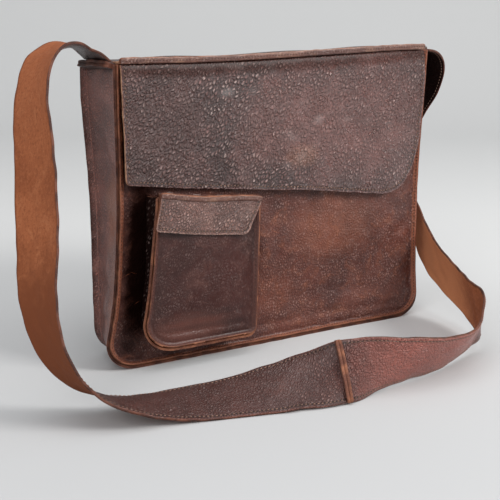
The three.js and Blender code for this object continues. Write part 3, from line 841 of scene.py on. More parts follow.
# Side-wall patches: the near-black band along the back lip is painted shade, the two lighter reddish
# patches down the side are painted highlights, and the dark band along the top is painted shade under the
# strap seam.
GUSSET = grain_leather(
    "gusset_leather", (0.325, 0.092, 0.060), (0.165, 0.043, 0.029), (0.44, 0.165, 0.110),
    pebble=0.8, scratches=0.25, seed=2.6, shine=0.8, cell=260.0, slant=0.9, tips_and_highlights=0.3,
    stains_and_painted_light=[
        (0.093, 0.15, 0.018, 0.60, (0.016, 0.005, 0.004), 0.92, 1),
        (0.032, 0.15, 0.020, 0.055, (0.36, 0.110, 0.045), 0.55, 0),
        (0.020, 0.23, 0.014, 0.050, (0.32, 0.095, 0.042), 0.5, 0),
        (0.045, 0.0, 0.060, 0.012, (0.030, 0.009, 0.007), 0.8, 1),
    ],
)
# Flap patches: darker at the left and lighter through the middle and right, painted shade and painted
# light as the light falls from the right; the thin dark band at v 0.300 is a painted shadow under the
# ridge.
FLAP = grain_leather(
    "flap_leather", (0.185, 0.066, 0.055), (0.092, 0.030, 0.024), (0.250, 0.108, 0.092),
    pebble=1.0, scratches=0.25, seed=0.4, rough=0.30, groove=STITCH_INSET, shine=1.0,
    cell=190.0, relief=0.0042, tips_and_highlights=0.9,
    stains_and_painted_light=[
        (-0.150, 0.250, 0.070, 0.060, (0.080, 0.026, 0.020), 0.6, 0),
        (0.0, 0.300, 0.400, 0.012, (0.060, 0.018, 0.012), 0.6, 1),
        (0.110, 0.230, 0.110, 0.090, (0.225, 0.082, 0.066), 0.5, 0),
        (0.010, 0.240, 0.090, 0.060, (0.240, 0.096, 0.080), 0.5, 0),
        (0.020, 0.200, 0.024, 0.016, (0.36, 0.165, 0.10), 0.35, 0),
    ],
)
FLAP_TOP_SKIN = grain_leather(
    "flap_top_leather", (0.140, 0.052, 0.042), (0.066, 0.022, 0.017), (0.22, 0.11, 0.088),
    pebble=1.0, scratches=0.25, seed=3.4, rough=0.42, shine=0.45, cell=240.0, relief=0.0020,
)
POCKET_SKIN = grain_leather(
    "pocket_leather", (0.052, 0.012, 0.009), (0.030, 0.007, 0.005), (0.095, 0.034, 0.025),
    pebble=0.22, scratches=0.9, seed=5.2, rough=0.42, shine=0.36, cell=260.0, relief=0.0011, tips_and_highlights=0.15,
    stains_and_painted_light=[(-0.120, 0.040, 0.050, 0.022, (0.125, 0.040, 0.027), 0.5, 0)],
)
# The pocket's side wall is painted nearly black: painted shade for the shadow it stands in beside the
# pocket and under the flap.
POCKET_WALL_PAINTED_SHADE = grain_leather(
    "pocket_wall_painted_shade_leather", (0.014, 0.004, 0.003), (0.007, 0.002, 0.0015), (0.022, 0.007, 0.005),
    pebble=0.4, scratches=0.2, seed=9.2, rough=0.6, shine=0.08,
)
POCKET_FLAP_SKIN = grain_leather(
    "pocket_flap_leather", (0.265, 0.106, 0.076), (0.135, 0.048, 0.034), (0.41, 0.215, 0.165),
    pebble=0.8, scratches=0.3, seed=6.4, rough=0.34, groove=STITCH_INSET * 0.9, shine=1.0, cell=260.0,
    relief=0.0028, tips_and_highlights=0.6,
)
RIDGE_SKIN = grain_leather(
    "ridge_leather", (0.170, 0.066, 0.042), (0.080, 0.026, 0.018), (0.32, 0.165, 0.10),
    pebble=0.25, scratches=0.3, seed=7.7, shine=0.6,
)
RIDGE_DARK = grain_leather(
    "ridge_dark_leather", (0.045, 0.016, 0.013), (0.020, 0.007, 0.005), (0.085, 0.034, 0.026),
    pebble=0.25, scratches=0.2, seed=8.7, shine=0.6,
)
# Strap patches along its length: the reddish lighter patch at 0.77 is tone, the patch at 0.53 is only
# darker, the near-black one at 1.28 is painted shade inside the right arch, and the dark one at 0.03 is
# painted shade where the left end rises from the gusset.
STRAP_GRAIN = grain_leather(
    "strap_leather", (0.112, 0.028, 0.019), (0.050, 0.012, 0.009), (0.19, 0.062, 0.042),
    pebble=0.8, scratches=0.4, seed=8.5, groove=STITCH_INSET, shine=0.6, cell=250.0, relief=0.0016,
    stains_and_painted_light=[
        (0.77, 0.0, 0.13, 0.10, (0.32, 0.085, 0.058), 0.85, 0),
        (0.53, 0.0, 0.15, 0.10, (0.062, 0.018, 0.013), 0.7, 0),
        (1.28, 0.0, 0.11, 0.20, PAINTED_SHADE_BLACK, 0.95, 1),
        (0.03, 0.0, 0.05, 0.20, (0.040, 0.015, 0.012), 0.7, 0),
    ],
)

# ---------------------------------------------------------------- body panels

BAG_LINE = seam_line(-HALF_WIDTH, HALF_WIDTH, 0.0, BAG_HEIGHT, BAG_HEIGHT, CORNER_RADIUS)


def front_relief(x, z, inset):
    points = np.stack([x, z], -1)
    near = np.exp(-inset / 0.022)
    crease = -0.0016 * bump(z, 0.019 + 0.003 * np.sin(x * 31), 0.0055) * smooth(inset, 0.006, 0.016)
    crease += -0.0011 * bump(z, 0.042 + 0.005 * np.sin(x * 17 + 1), 0.006) * smooth(x, -0.03, 0.05)
    pucker = 0.0008 * near * waves(points, 0.026, 11)
    soft = 0.0010 * waves(points, 0.085, 12) * smooth(inset, 0.0, 0.02)
    fine = 0.00035 * waves(points, 0.018, 13) * smooth(inset, 0.0, 0.008)
    roll = -0.0020 * np.exp(-inset / 0.006)
    return crease + pucker + soft + fine + roll + 0.0005


def back_relief(x, z, inset):
    points = np.stack([x, z], -1)
    soft = 0.0012 * waves(points, 0.10, 22) * smooth(inset, 0.0, 0.02)
    fine = 0.00035 * waves(points, 0.018, 23) * smooth(inset, 0.0, 0.008)
    crease = -0.0014 * bump(z, 0.024 + 0.004 * np.sin(x * 23 + 2), 0.006) * smooth(inset, 0.006, 0.016)
    return crease + soft + fine - 0.0020 * np.exp(-inset / 0.006)


front_panel = lipped_sheet(
    "front_panel_leather", BAG_LINE, -1, SEAM_DEPTH, LIP, count(150), count(170), front_relief,
    [FRONT, FLESH, EDGE], 31,
)
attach(front_panel, "bag")
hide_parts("front_panel")

back_panel = lipped_sheet(
    "back_panel_leather", BAG_LINE, 1, SEAM_DEPTH, LIP, count(120), count(140), back_relief,
    [BACK, FLESH, EDGE], 32,
)
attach(back_panel, "bag")
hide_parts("back_panel")


def gusset_relief(x, z, deep, turn):
    """The side walls pull in between their seams and buckle a little; the bottom stays flat."""
    on_side = 1 - np.clip(turn, 0, 1)
    middle = math.cos(math.pi / 2 * min(abs(deep) / SEAM_DEPTH, 1)) ** 1.2
    points = np.stack([np.full_like(z, deep), z + 0.3 * (x > 0)], -1)
    hollow = -0.0050 * middle * bump(z, 0.17, 0.11) * on_side
    buckle = 0.0011 * waves(points, 0.045, 41) * middle * on_side
    crease = -0.0022 * bump(z + 0.25 * deep, 0.045, 0.008) * middle * on_side
    crease = crease - 0.0014 * bump(z - 0.35 * deep, 0.078, 0.010) * middle * on_side
    return hollow + buckle + crease


gusset = lipped_wall(
    "gusset_leather", BAG_LINE, SEAM_DEPTH, SEAM_DEPTH, (LIP, LIP), gusset_relief,
    [GUSSET, FLESH, EDGE_DARK], count(420), 33,
)
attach(gusset, "bag")
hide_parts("gusset")


def lip_stitches(name, line, side, seam, along_lip, node):
    """Stitches on a panel's lip, along_lip from its fold."""
    ring = resample(line[:, :2], 400, line[:, 2:])
    ring[:, 2:4] = unit(ring[:, 2:4])
    low = settle(lip_point(ring, side, seam, -HALF_LAYER, along_lip))
    high = settle(lip_point(ring, side, seam, -HALF_LAYER - 0.001, along_lip))
    row = stitch_row(name, low, high - low, THREAD_DARK, lift=0.00005)
    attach(row, "bag")
    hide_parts(node)


BAG_STITCH_LINE = LIP * 0.6
lip_stitches("front_seam_stitches", BAG_LINE, -1, SEAM_DEPTH, BAG_STITCH_LINE, "seam_stitch_front")
lip_stitches("back_seam_stitches", BAG_LINE, 1, SEAM_DEPTH, BAG_STITCH_LINE, "seam_stitch_back")

# ---------------------------------------------------------------- pocket

POCKET_LINE = seam_line(
    POCKET["left"], POCKET["right"], POCKET["bottom"], POCKET["top_left"],
    POCKET["top_right"], POCKET["radius"], POCKET["tight"],
)


def pocket_relief(x, z, inset):
    points = np.stack([x, z], -1)
    belly = 0.0045 * smooth(inset, 0.0, 0.040)
    lower = POCKET["bottom"] + 0.017 - 0.02 * (x + 0.1)
    upper = POCKET["bottom"] + 0.030 + 0.05 * (x + 0.1)
    crease = -0.0017 * bump(z, lower, 0.0045) * smooth(inset, 0.005, 0.012)
    crease += -0.0010 * bump(z, upper, 0.004) * smooth(inset, 0.008, 0.016)
    soft = 0.0005 * waves(points, 0.060, 51) * smooth(inset, 0.0, 0.015)
    fine = 0.00012 * waves(points, 0.014, 52) * smooth(inset, 0.0, 0.008)
    return belly + crease + soft + fine - 0.0018 * np.exp(-inset / 0.005)


pocket_front = lipped_sheet(
    "pocket_front_leather", POCKET_LINE, -1, POCKET_SEAM, POCKET_LIP, count(100), count(80),
    pocket_relief, [POCKET_SKIN, FLESH, EDGE], 34,
)
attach(pocket_front, "bag")
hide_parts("pocket_front")


def pocket_wall_relief(x, z, deep, turn):
    middle = bump(deep, -0.049, 0.008)
    points = np.stack([np.full_like(z, deep), z + x], -1)
    return middle * (-0.0022 + 0.0007 * waves(points, 0.022, 53))


pocket_wall = lipped_wall(
    "pocket_gusset_leather", POCKET_LINE, POCKET_SEAM, -HALF_DEPTH - 0.0002, (POCKET_LIP, 0),
    pocket_wall_relief, [POCKET_WALL_PAINTED_SHADE, FLESH, EDGE], count(200), 35,
)
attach(pocket_wall, "bag")
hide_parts("pocket_gusset")
lip_stitches(
    "pocket_seam_stitches", POCKET_LINE, -1, POCKET_SEAM, POCKET_LIP * 0.55, "pocket_seam_stitch"
)

# ---------------------------------------------------------------- flaps


def sheet_grid(name, edges, place, materials, rows, columns):
    """A flat cut piece from its left, bottom and right edges in its own flat plane (u, v), put in
    place by place(flat, inset) -> points, with its grain side to the front."""
    edge_left, edge_bottom, edge_right = edges
    left = resample(edge_left, rows)
    bottom = resample(edge_bottom, columns)
    right = resample(edge_right, rows)
    top = np.stack([np.linspace(a, b, columns) for a, b in zip(left[0], right[0])], -1)
    flat = coons(top, bottom, left, right).reshape(-1, 2)
    outline = np.vstack([left, bottom[1:-1], right[::-1]])
    inset = distance_to_line(flat, outline)
    verts = settle(place(flat, inset))
    piece = mesh_piece(name, verts, grid_faces(rows, columns), flat, inset, materials)
    face_outward(piece, lambda at: (0, -1, 0))
    return thicken(piece), outline


def arc_points(start, control_a, control_b, end, n=24):
    """A cubic Bezier curve as n points."""
    t = np.linspace(0, 1, n)[:, None]
    a, b, c, d = [np.array(q, float) for q in (start, control_a, control_b, end)]
    return (1 - t) ** 3 * a + 3 * t * (1 - t) ** 2 * b + 3 * t**2 * (1 - t) * c + t**3 * d


FLAP_DROP_LEFT = 0.188
FLAP_SLOPE = 0.12625
FLAP_CORNER_START = 0.118
FOLD_Z = FLAP_HIGH


def flap_edges(inset=0.0):
    """The front flap's left, bottom and right edges, inset from its cut edge."""
    left, right = FLAP_LEFT + inset, FLAP_RIGHT - inset

    def lower(x):
        return FLAP_DROP_LEFT + inset - FLAP_SLOPE * (x - FLAP_LEFT)

    low = lower(left)
    corner_left = arc_points(
        (left, low + 0.007), (left, low + 0.002), (left + 0.002, low), (left + 0.007, low)
    )
    corner_right = arc_points(
        (FLAP_CORNER_START, lower(FLAP_CORNER_START)), (right - 0.018, lower(right) - 0.001),
        (right, lower(right) + 0.030), (right, lower(right) + 0.085), 50,
    )
    half_left, half_right = 12, 26
    edge_left = np.vstack([[(left, FOLD_Z)], corner_left[: half_left + 1]])
    edge_bottom = np.vstack([corner_left[half_left:], corner_right[: half_right + 1]])
    edge_right = np.vstack([corner_right[half_right:], [(right, FOLD_Z)]])[::-1]
    return edge_left, edge_bottom, edge_right


RIDGE_FRONT_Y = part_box("flap_ridge")[0].y
RIDGE_BACK_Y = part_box("flap_ridge")[1].y


def flap_spread(x):
    """How much further left the flap's left edge lies, once it has been worn flat."""
    return 0.0082 * smooth(-x, 0.08, 0.185)


def flap_place(flat, inset):
    """The front flap hangs from its fold, waves a little and lifts at its free edges."""
    x, z = flat[:, 0], flat[:, 1]
    down = FOLD_Z - z
    y = np.full(len(flat), FLAP_FRONT_Y)
    y += 0.0022 * np.exp(-down / 0.006)
    y -= 0.0010 * waves(flat, 0.110, 61) * smooth(down, 0.004, 0.05)
    y -= 0.00035 * waves(flat, 0.022, 62) * smooth(down, 0.0, 0.02)
    y -= 0.0016 * smooth(down, 0.06, 0.125) * (1 + 0.7 * np.sin(x * 21 + 0.5))
    y -= 0.0012 * np.exp(-inset / 0.010) * smooth(down, 0.01, 0.04)
    y += 0.0010 * bump(z - 0.35 * x, 0.235, 0.010) * smooth(x, -0.18, -0.05)
    y += 0.0008 * bump(z + 0.22 * x, 0.262, 0.008) * smooth(x, 0.0, 0.08)
    return np.stack([x - flap_spread(x), y, z], -1)


flap_front, flap_outline = sheet_grid(
    "flap_front_leather", flap_edges(), flap_place, [FLAP, FLESH, EDGE_PALE], count(110), count(210)
)
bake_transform(flap_front)
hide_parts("flap_front")


def edge_stitches(name, edges, outline, place, node, spacing=0.0040):
    """A row of stitches inside a flap's cut edge."""
    left, bottom, right = edges
    line = resample(np.vstack([left, bottom[1:], right[::-1][1:]]), 700)
    inset = distance_to_line(line, outline)
    low = settle(place(line, inset))
    tangent = unit(np.gradient(low, axis=0))
    inner = settle(place(line + np.array([0.0, 0.002]), inset))
    side = unit(inner - low)
    normal = unit(np.cross(tangent, side))
    normal *= np.where(normal[:, 1:2] > 0, -1, 1)
    row = stitch_row(name, low, normal, THREAD, spacing=spacing, radius=0.00042)
    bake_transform(row)
    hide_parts(node)


edge_stitches(
    "flap_edge_stitches", flap_edges(STITCH_INSET), flap_outline, flap_place, "flap_stitch"
)

# The top of the flap: sewn to the back panel, over the top edge and forward to the ridge
BACK_FACE = HALF_DEPTH + LEATHER + 0.0002
FLAP_SEWN_Z = 0.281
TOP_PATH = spline(
    [
        (BACK_FACE, FLAP_SEWN_Z), (BACK_FACE, 0.290), (BACK_FACE - 0.0006, 0.298),
        (BACK_FACE - 0.004, 0.3045), (BACK_FACE - 0.012, FLAP_TOP_Z - 0.0004),
        (0.015, FLAP_TOP_Z + 0.0006), (-0.010, FLAP_TOP_Z + 0.0004), (-0.030, FLAP_TOP_Z),
        (-0.0385, FLAP_TOP_Z), (RIDGE_BACK_Y - 0.0004, FLAP_TOP_Z + 0.0004),
    ],
    12,
)
TOP_ROWS = resample(TOP_PATH, count(70))


def flap_top_mesh():
    rows = TOP_ROWS
    columns = count(160)
    along = lengths_along(rows)
    s = np.linspace(0, 1, columns)
    x = FLAP_LEFT + (FLAP_RIGHT - FLAP_LEFT) * s
    forward = smooth(-rows[:, 0], -0.02, 0.04)
    grid = np.zeros((len(rows), columns, 3))
    flat = np.stack(np.broadcast_arrays(x[None, :], along[:, None]), -1)
    grid[..., 0] = x[None, :] - flap_spread(x)[None, :] * forward[:, None]
    grid[..., 1] = rows[:, 0][:, None]
    grid[..., 2] = rows[:, 1][:, None]
    sag = 0.0009 * waves(flat.reshape(-1, 2), 0.09, 71).reshape(flat.shape[:2])
    free = smooth(along, 0.02, 0.04) * smooth(along[-1] - along, 0.0, 0.02)
    grid[..., 2] += sag * free[:, None]
    inset = np.minimum(x - FLAP_LEFT, FLAP_RIGHT - x)[None, :] * np.ones((len(rows), 1))
    inset = np.minimum(inset, along[:, None] + 0.0005)
    piece = mesh_piece(
        "flap_top_leather", settle(grid), grid_faces(len(rows), columns), flat, inset,
        [FLAP_TOP_SKIN, FLESH, EDGE_PALE],
    )
    face_outward(piece, lambda at: (0, at.y * 6, 1))
    return thicken(piece)


flap_top = flap_top_mesh()
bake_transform(flap_top)
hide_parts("flap_top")


def level_line(x, y, z):
    """Points at each x, all at the same y and z."""
    return np.stack([x, np.full_like(x, y), np.full_like(x, z)], -1)


def everywhere(direction, n):
    return np.tile(direction, (n, 1))


back_x = np.linspace(FLAP_LEFT + 0.004, FLAP_RIGHT - 0.004, 300)
back_line = level_line(back_x, BACK_FACE, FLAP_SEWN_Z + 0.0045)
back_row = stitch_row("flap_back_stitches", settle(back_line), everywhere([0.0, 1.0, 0.0], 300), THREAD)
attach(back_row, "bag")


def ridge_profile(thickness, height):
    """Two turned-up cut edges side by side, as (across, up) points round the section."""
    t, h = thickness / 2, height
    r = 0.0007
    half = [(-t, 0.0), (-t - 0.0001, h * 0.35), (-t, h * 0.72)]
    for angle in np.linspace(0.2, math.pi / 2, 4):
        half.append((-t + r * (1 - math.cos(angle)), h - r + r * math.sin(angle)))
    half += [(-0.0008, h), (-0.0003, h - 0.0004)]
    other_half = [(-across, up) for across, up in reversed(half)]
    return np.array(half + [(0.0, h - 0.0011)] + other_half)


def ridge(name, line, up, across, thickness, height, materials, seed, wobble=0.00018, shape=settle):
    """A raised seam: the profile swept along a line, closed at its ends."""
    profile = ridge_profile(thickness, height)
    n, m = len(line), len(profile)
    along = lengths_along(line)[:, None]
    shift_a = wobble * waves(along, 0.022, seed, 8)
    shift_u = wobble * waves(along, 0.018, seed + 1, 8)
    to_end = along[-1, 0] - along[:, 0]
    ends = 1 - 0.25 * (np.exp(-along[:, 0] / 0.0015) + np.exp(-to_end / 0.0015))
    grow = profile[None, :, 1] / height
    verts = (
        line[:, None]
        + across[:, None] * ((profile[None, :, 0] * ends[:, None] + shift_a[:, None] * grow)[..., None])
        + up[:, None] * ((profile[None, :, 1] * ends[:, None] + shift_u[:, None] * grow)[..., None])
    )
    faces = grid_faces(n, m)
    faces += [tuple(range(m))[::-1], tuple(range((n - 1) * m, n * m))]
    faces += [(i * m, (i + 1) * m, (i + 1) * m + m - 1, i * m + m - 1) for i in range(n - 1)]
    band = np.cumsum(np.concatenate([[0.0], np.linalg.norm(np.diff(profile, axis=0), axis=1)]))
    uvs = np.stack(np.broadcast_arrays(along, band[None, :]), -1)
    rims = np.broadcast_to(np.abs(profile[:, 1] - height)[None, :], (n, m))
    piece = mesh_piece(name, shape(verts), faces, uvs, rims, materials)
    mesh = piece.data
    bpy.context.view_layer.update()
    middle = line.mean(0) + up.mean(0) * height / 2
    crosswise = 1 - np.abs(unit(line[-1] - line[0]))
    face_outward(piece, lambda at: tuple((np.array(at) - middle) * crosswise))
    for polygon in list(mesh.polygons)[(n - 1) * (m - 1) :]:
        polygon.use_smooth = False
    top_from = height - 0.0012
    for k, polygon in enumerate(mesh.polygons):
        if k < (n - 1) * (m - 1):
            j = k % (m - 1)
            if profile[j, 1] > top_from and profile[j + 1, 1] > top_from:
                polygon.material_index = 1
        elif k < (n - 1) * (m - 1) + 2:
            polygon.material_index = 1
    return piece


ridge_x = np.linspace(FLAP_LEFT, FLAP_RIGHT, count(260))
ridge_x = ridge_x - flap_spread(ridge_x)
ridge_y = (RIDGE_FRONT_Y + RIDGE_BACK_Y) / 2
ridge_line = level_line(ridge_x, ridge_y, FLAP_HIGH + 0.0008)
flap_ridge = ridge(
    "flap_ridge_leather", ridge_line, everywhere([0.0, 0.0, 1.0], len(ridge_x)),
    everywhere([0.0, 1.0, 0.0], len(ridge_x)), RIDGE_BACK_Y - RIDGE_FRONT_Y, 0.0062,
    [RIDGE_SKIN, EDGE], 81,
)
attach(flap_ridge, "flap_lid")
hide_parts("flap_ridge")
row_line = settle(ridge_line * [1, 0, 1] + [0, RIDGE_FRONT_Y - 0.0001, 0.0028])
ridge_front = everywhere([0.0, -1.0, 0.0], len(ridge_x))
ridge_row = stitch_row("flap_ridge_stitches", row_line, ridge_front, THREAD_DARK)
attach(ridge_row, "flap_lid")
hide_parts("flap_ridge_stitch")

# ---------------------------------------------------------------- pocket lid and flap

POCKET_PIVOT = np.array([POCKET["left"], 0.0, POCKET["top_left"]])
cos_tilt, sin_tilt = math.cos(POCKET_TILT), math.sin(POCKET_TILT)


def from_pocket(local):
    """From the pocket lid's own slanted frame (u right along the lid, y, w up) to the bag's."""
    local = np.asarray(local, float)
    u, y, w = local[..., 0], local[..., 1], local[..., 2]
    x = POCKET_PIVOT[0] + u * cos_tilt + w * sin_tilt
    z = POCKET_PIVOT[2] - u * sin_tilt + w * cos_tilt
    return np.stack([x, y, z], -1)


LID_LEFT, LID_RIGHT = -0.003, 0.1202
LID_BACK_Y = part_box("pocket_flap_top")[1].y
POCKET_FLAP_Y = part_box("pocket_flap")[0].y
POCKET_RIDGE_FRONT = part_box("pocket_ridge")[0].y
POCKET_RIDGE_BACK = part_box("pocket_ridge")[1].y
POCKET_DROP = 0.031
POCKET_FOLD_W = 0.0026


def lid_mesh():
    """The narrow strip over the pocket's mouth."""
    stations = [
        (LID_BACK_Y, 0.0068), (LID_BACK_Y - 0.0004, 0.0045), (LID_BACK_Y - 0.004, 0.0031),
        (-0.052, 0.0032), (POCKET_RIDGE_BACK + 0.004, 0.0027), (POCKET_RIDGE_BACK - 0.0004, 0.0029),
    ]
    path = resample(spline(stations, 10), count(30))
    columns = count(70)
    along = lengths_along(path)
    u = np.linspace(LID_LEFT, LID_RIGHT, columns)
    flat = np.stack(np.broadcast_arrays(u[None, :], along[:, None]), -1)
    local = np.zeros((len(path), columns, 3))
    taper = 0.017 * smooth(path[:, 0], POCKET_FLAP_Y + 0.004, POCKET_FLAP_Y + 0.026)
    from_right = (LID_RIGHT - u) / (LID_RIGHT - LID_LEFT)
    local[..., 0] = u[None, :] + taper[:, None] * from_right[None, :]
    local[..., 1] = path[:, 0][:, None]
    local[..., 2] = path[:, 1][:, None]
    inset = np.minimum(u - LID_LEFT, LID_RIGHT - u)[None, :] * np.ones((len(path), 1))
    piece = mesh_piece(
        "pocket_lid_leather", settle(from_pocket(local)), grid_faces(len(path), columns), flat,
        inset, [POCKET_FLAP_SKIN, FLESH, EDGE],
    )
    face_outward(piece, lambda at: (0, -0.2, 1))
    return thicken(piece)


pocket_lid = lid_mesh()
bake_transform(pocket_lid)
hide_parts("pocket_flap_top")


def pocket_flap_edges(inset=0.0):
    """The pocket flap's left, bottom and right edges, inset from its cut edge."""
    left, right, low = LID_LEFT + inset, LID_RIGHT - inset, -POCKET_DROP + inset
    corner_left = arc_points(
        (left, low + 0.004), (left, low + 0.0015), (left + 0.0015, low), (left + 0.004, low), 12
    )
    corner_right = arc_points(
        (right - 0.022, low), (right - 0.015, low), (right - 0.0125, low + 0.002),
        (right - 0.0105, low + 0.0085), 24,
    )
    edge_left = np.vstack([[(left, POCKET_FOLD_W)], corner_left[:7]])
    edge_bottom = np.vstack([corner_left[6:], corner_right[:13]])
    edge_right = np.vstack([corner_right[12:], [(right, POCKET_FOLD_W)]])[::-1]
    return edge_left, edge_bottom, edge_right


def pocket_flap_place(flat, inset):
    u, w = flat[:, 0], flat[:, 1]
    down = POCKET_FOLD_W - w
    y = np.full(len(flat), POCKET_FLAP_Y)
    y += 0.0018 * np.exp(-down / 0.005)
    y -= 0.0005 * waves(flat, 0.045, 91) * smooth(down, 0.003, 0.02)
    y -= 0.0002 * waves(flat, 0.012, 92) * smooth(down, 0.0, 0.01)
    y -= 0.0012 * smooth(down, 0.018, 0.034) * (1 + 0.6 * np.sin(u * 60))
    return from_pocket(np.stack([u, y, w], -1))


pocket_flap, pocket_outline = sheet_grid(
    "pocket_flap_leather", pocket_flap_edges(), pocket_flap_place,
    [POCKET_FLAP_SKIN, FLESH, EDGE], count(36), count(90),
)
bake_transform(pocket_flap)
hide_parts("pocket_flap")
edge_stitches(
    "pocket_flap_stitches", pocket_flap_edges(STITCH_INSET * 0.9), pocket_outline,
    pocket_flap_place, "pocket_flap_stitch", spacing=0.0036,
)

lid_u = np.linspace(LID_LEFT, LID_RIGHT, count(90))
pocket_ridge_y = (POCKET_RIDGE_FRONT + POCKET_RIDGE_BACK) / 2
pocket_ridge_line = from_pocket(level_line(lid_u, pocket_ridge_y, 0.0006))
lid_up = everywhere([sin_tilt, 0.0, cos_tilt], len(lid_u))
pocket_ridge = ridge(
    "pocket_ridge_leather", pocket_ridge_line, lid_up, everywhere([0.0, 1.0, 0.0], len(lid_u)),
    POCKET_RIDGE_BACK - POCKET_RIDGE_FRONT, 0.0056, [RIDGE_SKIN, EDGE], 83,
)
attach(pocket_ridge, "pocket_lid")
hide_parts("pocket_ridge")

# ---------------------------------------------------------------- strap

STRAP_WIDTH = 0.058

# The strap's stations in millimetres, and the direction across its width at each. It leaves the
# left side wall, arches outward, drops to the floor, crosses in front and climbs on the right.
LEFT_ROUTE = [
    ((-187, 0, 304), (0, 1, 0)),
    ((-198, -2, 314), (0, 1, 0)),
    ((-212, -2, 321), (-0.1, 1, 0.1)),
    ((-235, -10, 320), (-0.15, 1, -0.1)),
    ((-260, -30, 308), (-0.2, 0.95, -0.3)),
    ((-280, -54, 275), (-0.2, 0.9, -0.4)),
    ((-288, -76, 230), (-0.25, 0.9, -0.35)),
    ((-298, -100, 170), (-0.3, 0.9, -0.3)),
    ((-308, -124, 102), (-0.2, 0.9, -0.35)),
    ((-300, -140, 57), (0, 0.95, -0.35)),
    ((-280, -150, 32), (0.15, 0.95, -0.25)),
    ((-250, -162, 18), (0.25, 0.95, -0.1)),
    ((-205, -171, 10.5), (0.25, 0.95, 0.1)),
    ((-142, -190, 13), (0.25, 0.9, 0.35)),
    ((-98, -207, 20), (0.25, 0.8, 0.55)),
    ((-55, -228, 29), (0.1, 0.35, 0.9)),
]
RIGHT_ROUTE = [
    ((-55, -228, 29), (0.1, 0.35, 0.9)),
    ((-10, -236, 30), (0.05, -0.25, 0.95)),
    ((35, -238, 27), (0.1, -0.5, 0.8)),
    ((80, -231, 25), (0.2, -0.6, 0.8)),
    ((115, -216, 29), (0, -0.5, 0.8)),
    ((148, -195, 40), (-0.2, -0.3, 0.9)),
    ((175, -155, 41), (-0.2, 0, 1)),
    ((190, -120, 46), (-0.3, -0.2, 0.9)),
    ((197, -80, 60), (-0.3, -0.3, 0.9)),
    ((207, -40, 80), (-0.3, -0.5, 0.8)),
    ((216, -8, 110), (-0.4, -0.5, 0.7)),
    ((222, 32, 145), (-0.7, -0.5, 0.5)),
    ((225, 52, 185), (-1, 0, 0.1)),
    ((228, 44, 225), (-0.7, 0.6, 0.3)),
    ((232, 21, 260), (-0.6, 0.7, 0.3)),
    ((228, 5, 288), (-0.5, 0.8, 0.1)),
    ((215, 0, 303), (-0.2, 1, 0)),
    ((205, 0, 305), (0, 1, 0)),
    ((194, 0, 303), (0, 1, 0)),
]
FULL_ROUTE = LEFT_ROUTE + RIGHT_ROUTE[1:]
JOIN = len(LEFT_ROUTE) - 1
STEPS = 24


def strap_frames():
    """Evenly spaced frames down the whole strap: centre, across and grain side, and the length
    at which the two halves are joined."""
    centre = spline([np.array(p) / 1000 for p, _ in FULL_ROUTE], STEPS)
    across = spline([np.array(a, float) for _, a in FULL_ROUTE], STEPS)
    along = lengths_along(centre)
    join_at = along[JOIN * STEPS]
    n = count(900)
    at = np.linspace(0, along[-1], n)
    centre = read_at(at, along, centre)
    across = read_at(at, along, across)
    kernel = np.exp(-np.linspace(-2, 2, 25) ** 2)
    kernel /= kernel.sum()
    pad = len(kernel) // 2
    for values in (centre, across):
        before = 2 * values[0] - values[pad:0:-1]
        after = 2 * values[-1] - values[-2 : -pad - 2 : -1]
        padded = np.vstack([before, values, after])
        for k in range(3):
            values[:, k] = np.convolve(padded[:, k], kernel, "valid")
    tangent = unit(np.gradient(centre, axis=0))
    across = unit(across - tangent * (across * tangent).sum(1, keepdims=True))
    return at, centre, across, np.cross(tangent, across), tangent, join_at


strap_at, strap_centre, strap_across, strap_grain, strap_along, JOIN_AT = strap_frames()
STRAP_LENGTH = strap_at[-1]


def strap_point(index, v, lift=0.0):
    """A point on the strap's grain face: index picks the frame, v is the distance across from
    the middle and lift the height over the grain."""
    s = strap_at[index]
    c, a, g = strap_centre[index], strap_across[index], strap_grain[index]
    v = np.asarray(v, float)
    edge = np.abs(v) / (STRAP_WIDTH / 2)
    flat = np.stack(np.broadcast_arrays(s, v), -1)
    shape = flat.shape[:-1]
    free = smooth(s, 0.03, 0.10) * smooth(STRAP_LENGTH - s, 0.03, 0.10)
    out = -0.0022 * edge**2.5 * free
    out = out + 0.0007 * waves(flat.reshape(-1, 2), 0.085, 101).reshape(shape) * free
    out = out + 0.0003 * waves(flat.reshape(-1, 2), 0.02, 102).reshape(shape)
    side = 0.0003 * waves(flat.reshape(-1, 2)[:, :1], 0.09, 103, 8).reshape(shape) * np.sign(v)
    side = side + 0.00025 * waves(flat.reshape(-1, 2)[:, :1], 0.03, 104, 8).reshape(shape)
    return c + a * (v + side * edge)[..., None] + g * (out + lift)[..., None]


STRAP_BANDS = count(34)


def strap_half(name, first, last, nodes):
    """One half of the strap as a sheet of leather with grain and flesh sides."""
    index = np.arange(first, last + 1)
    v = np.linspace(-STRAP_WIDTH / 2, STRAP_WIDTH / 2, STRAP_BANDS)
    grid_index, grid_v = np.meshgrid(index, v, indexing="ij")
    verts = strap_point(grid_index, grid_v, LEATHER / 2)
    flat = np.stack([strap_at[grid_index], grid_v], -1)
    inset = STRAP_WIDTH / 2 - np.abs(grid_v)
    inset = np.minimum(inset, np.abs(strap_at[grid_index] - JOIN_AT) + 0.001)
    skins = [STRAP_GRAIN, STRAP_FLESH, EDGE_DARK]
    piece = mesh_piece(name, verts, grid_faces(*grid_index.shape), flat, inset, skins)
    middle = len(piece.data.polygons) // 2
    polygon = piece.data.polygons[middle]
    if Vector(strap_grain[index[len(index) // 2]]).dot(polygon.normal) < 0:
        piece.data.flip_normals()
    thicken(piece)
    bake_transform(piece)
    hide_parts(*nodes)


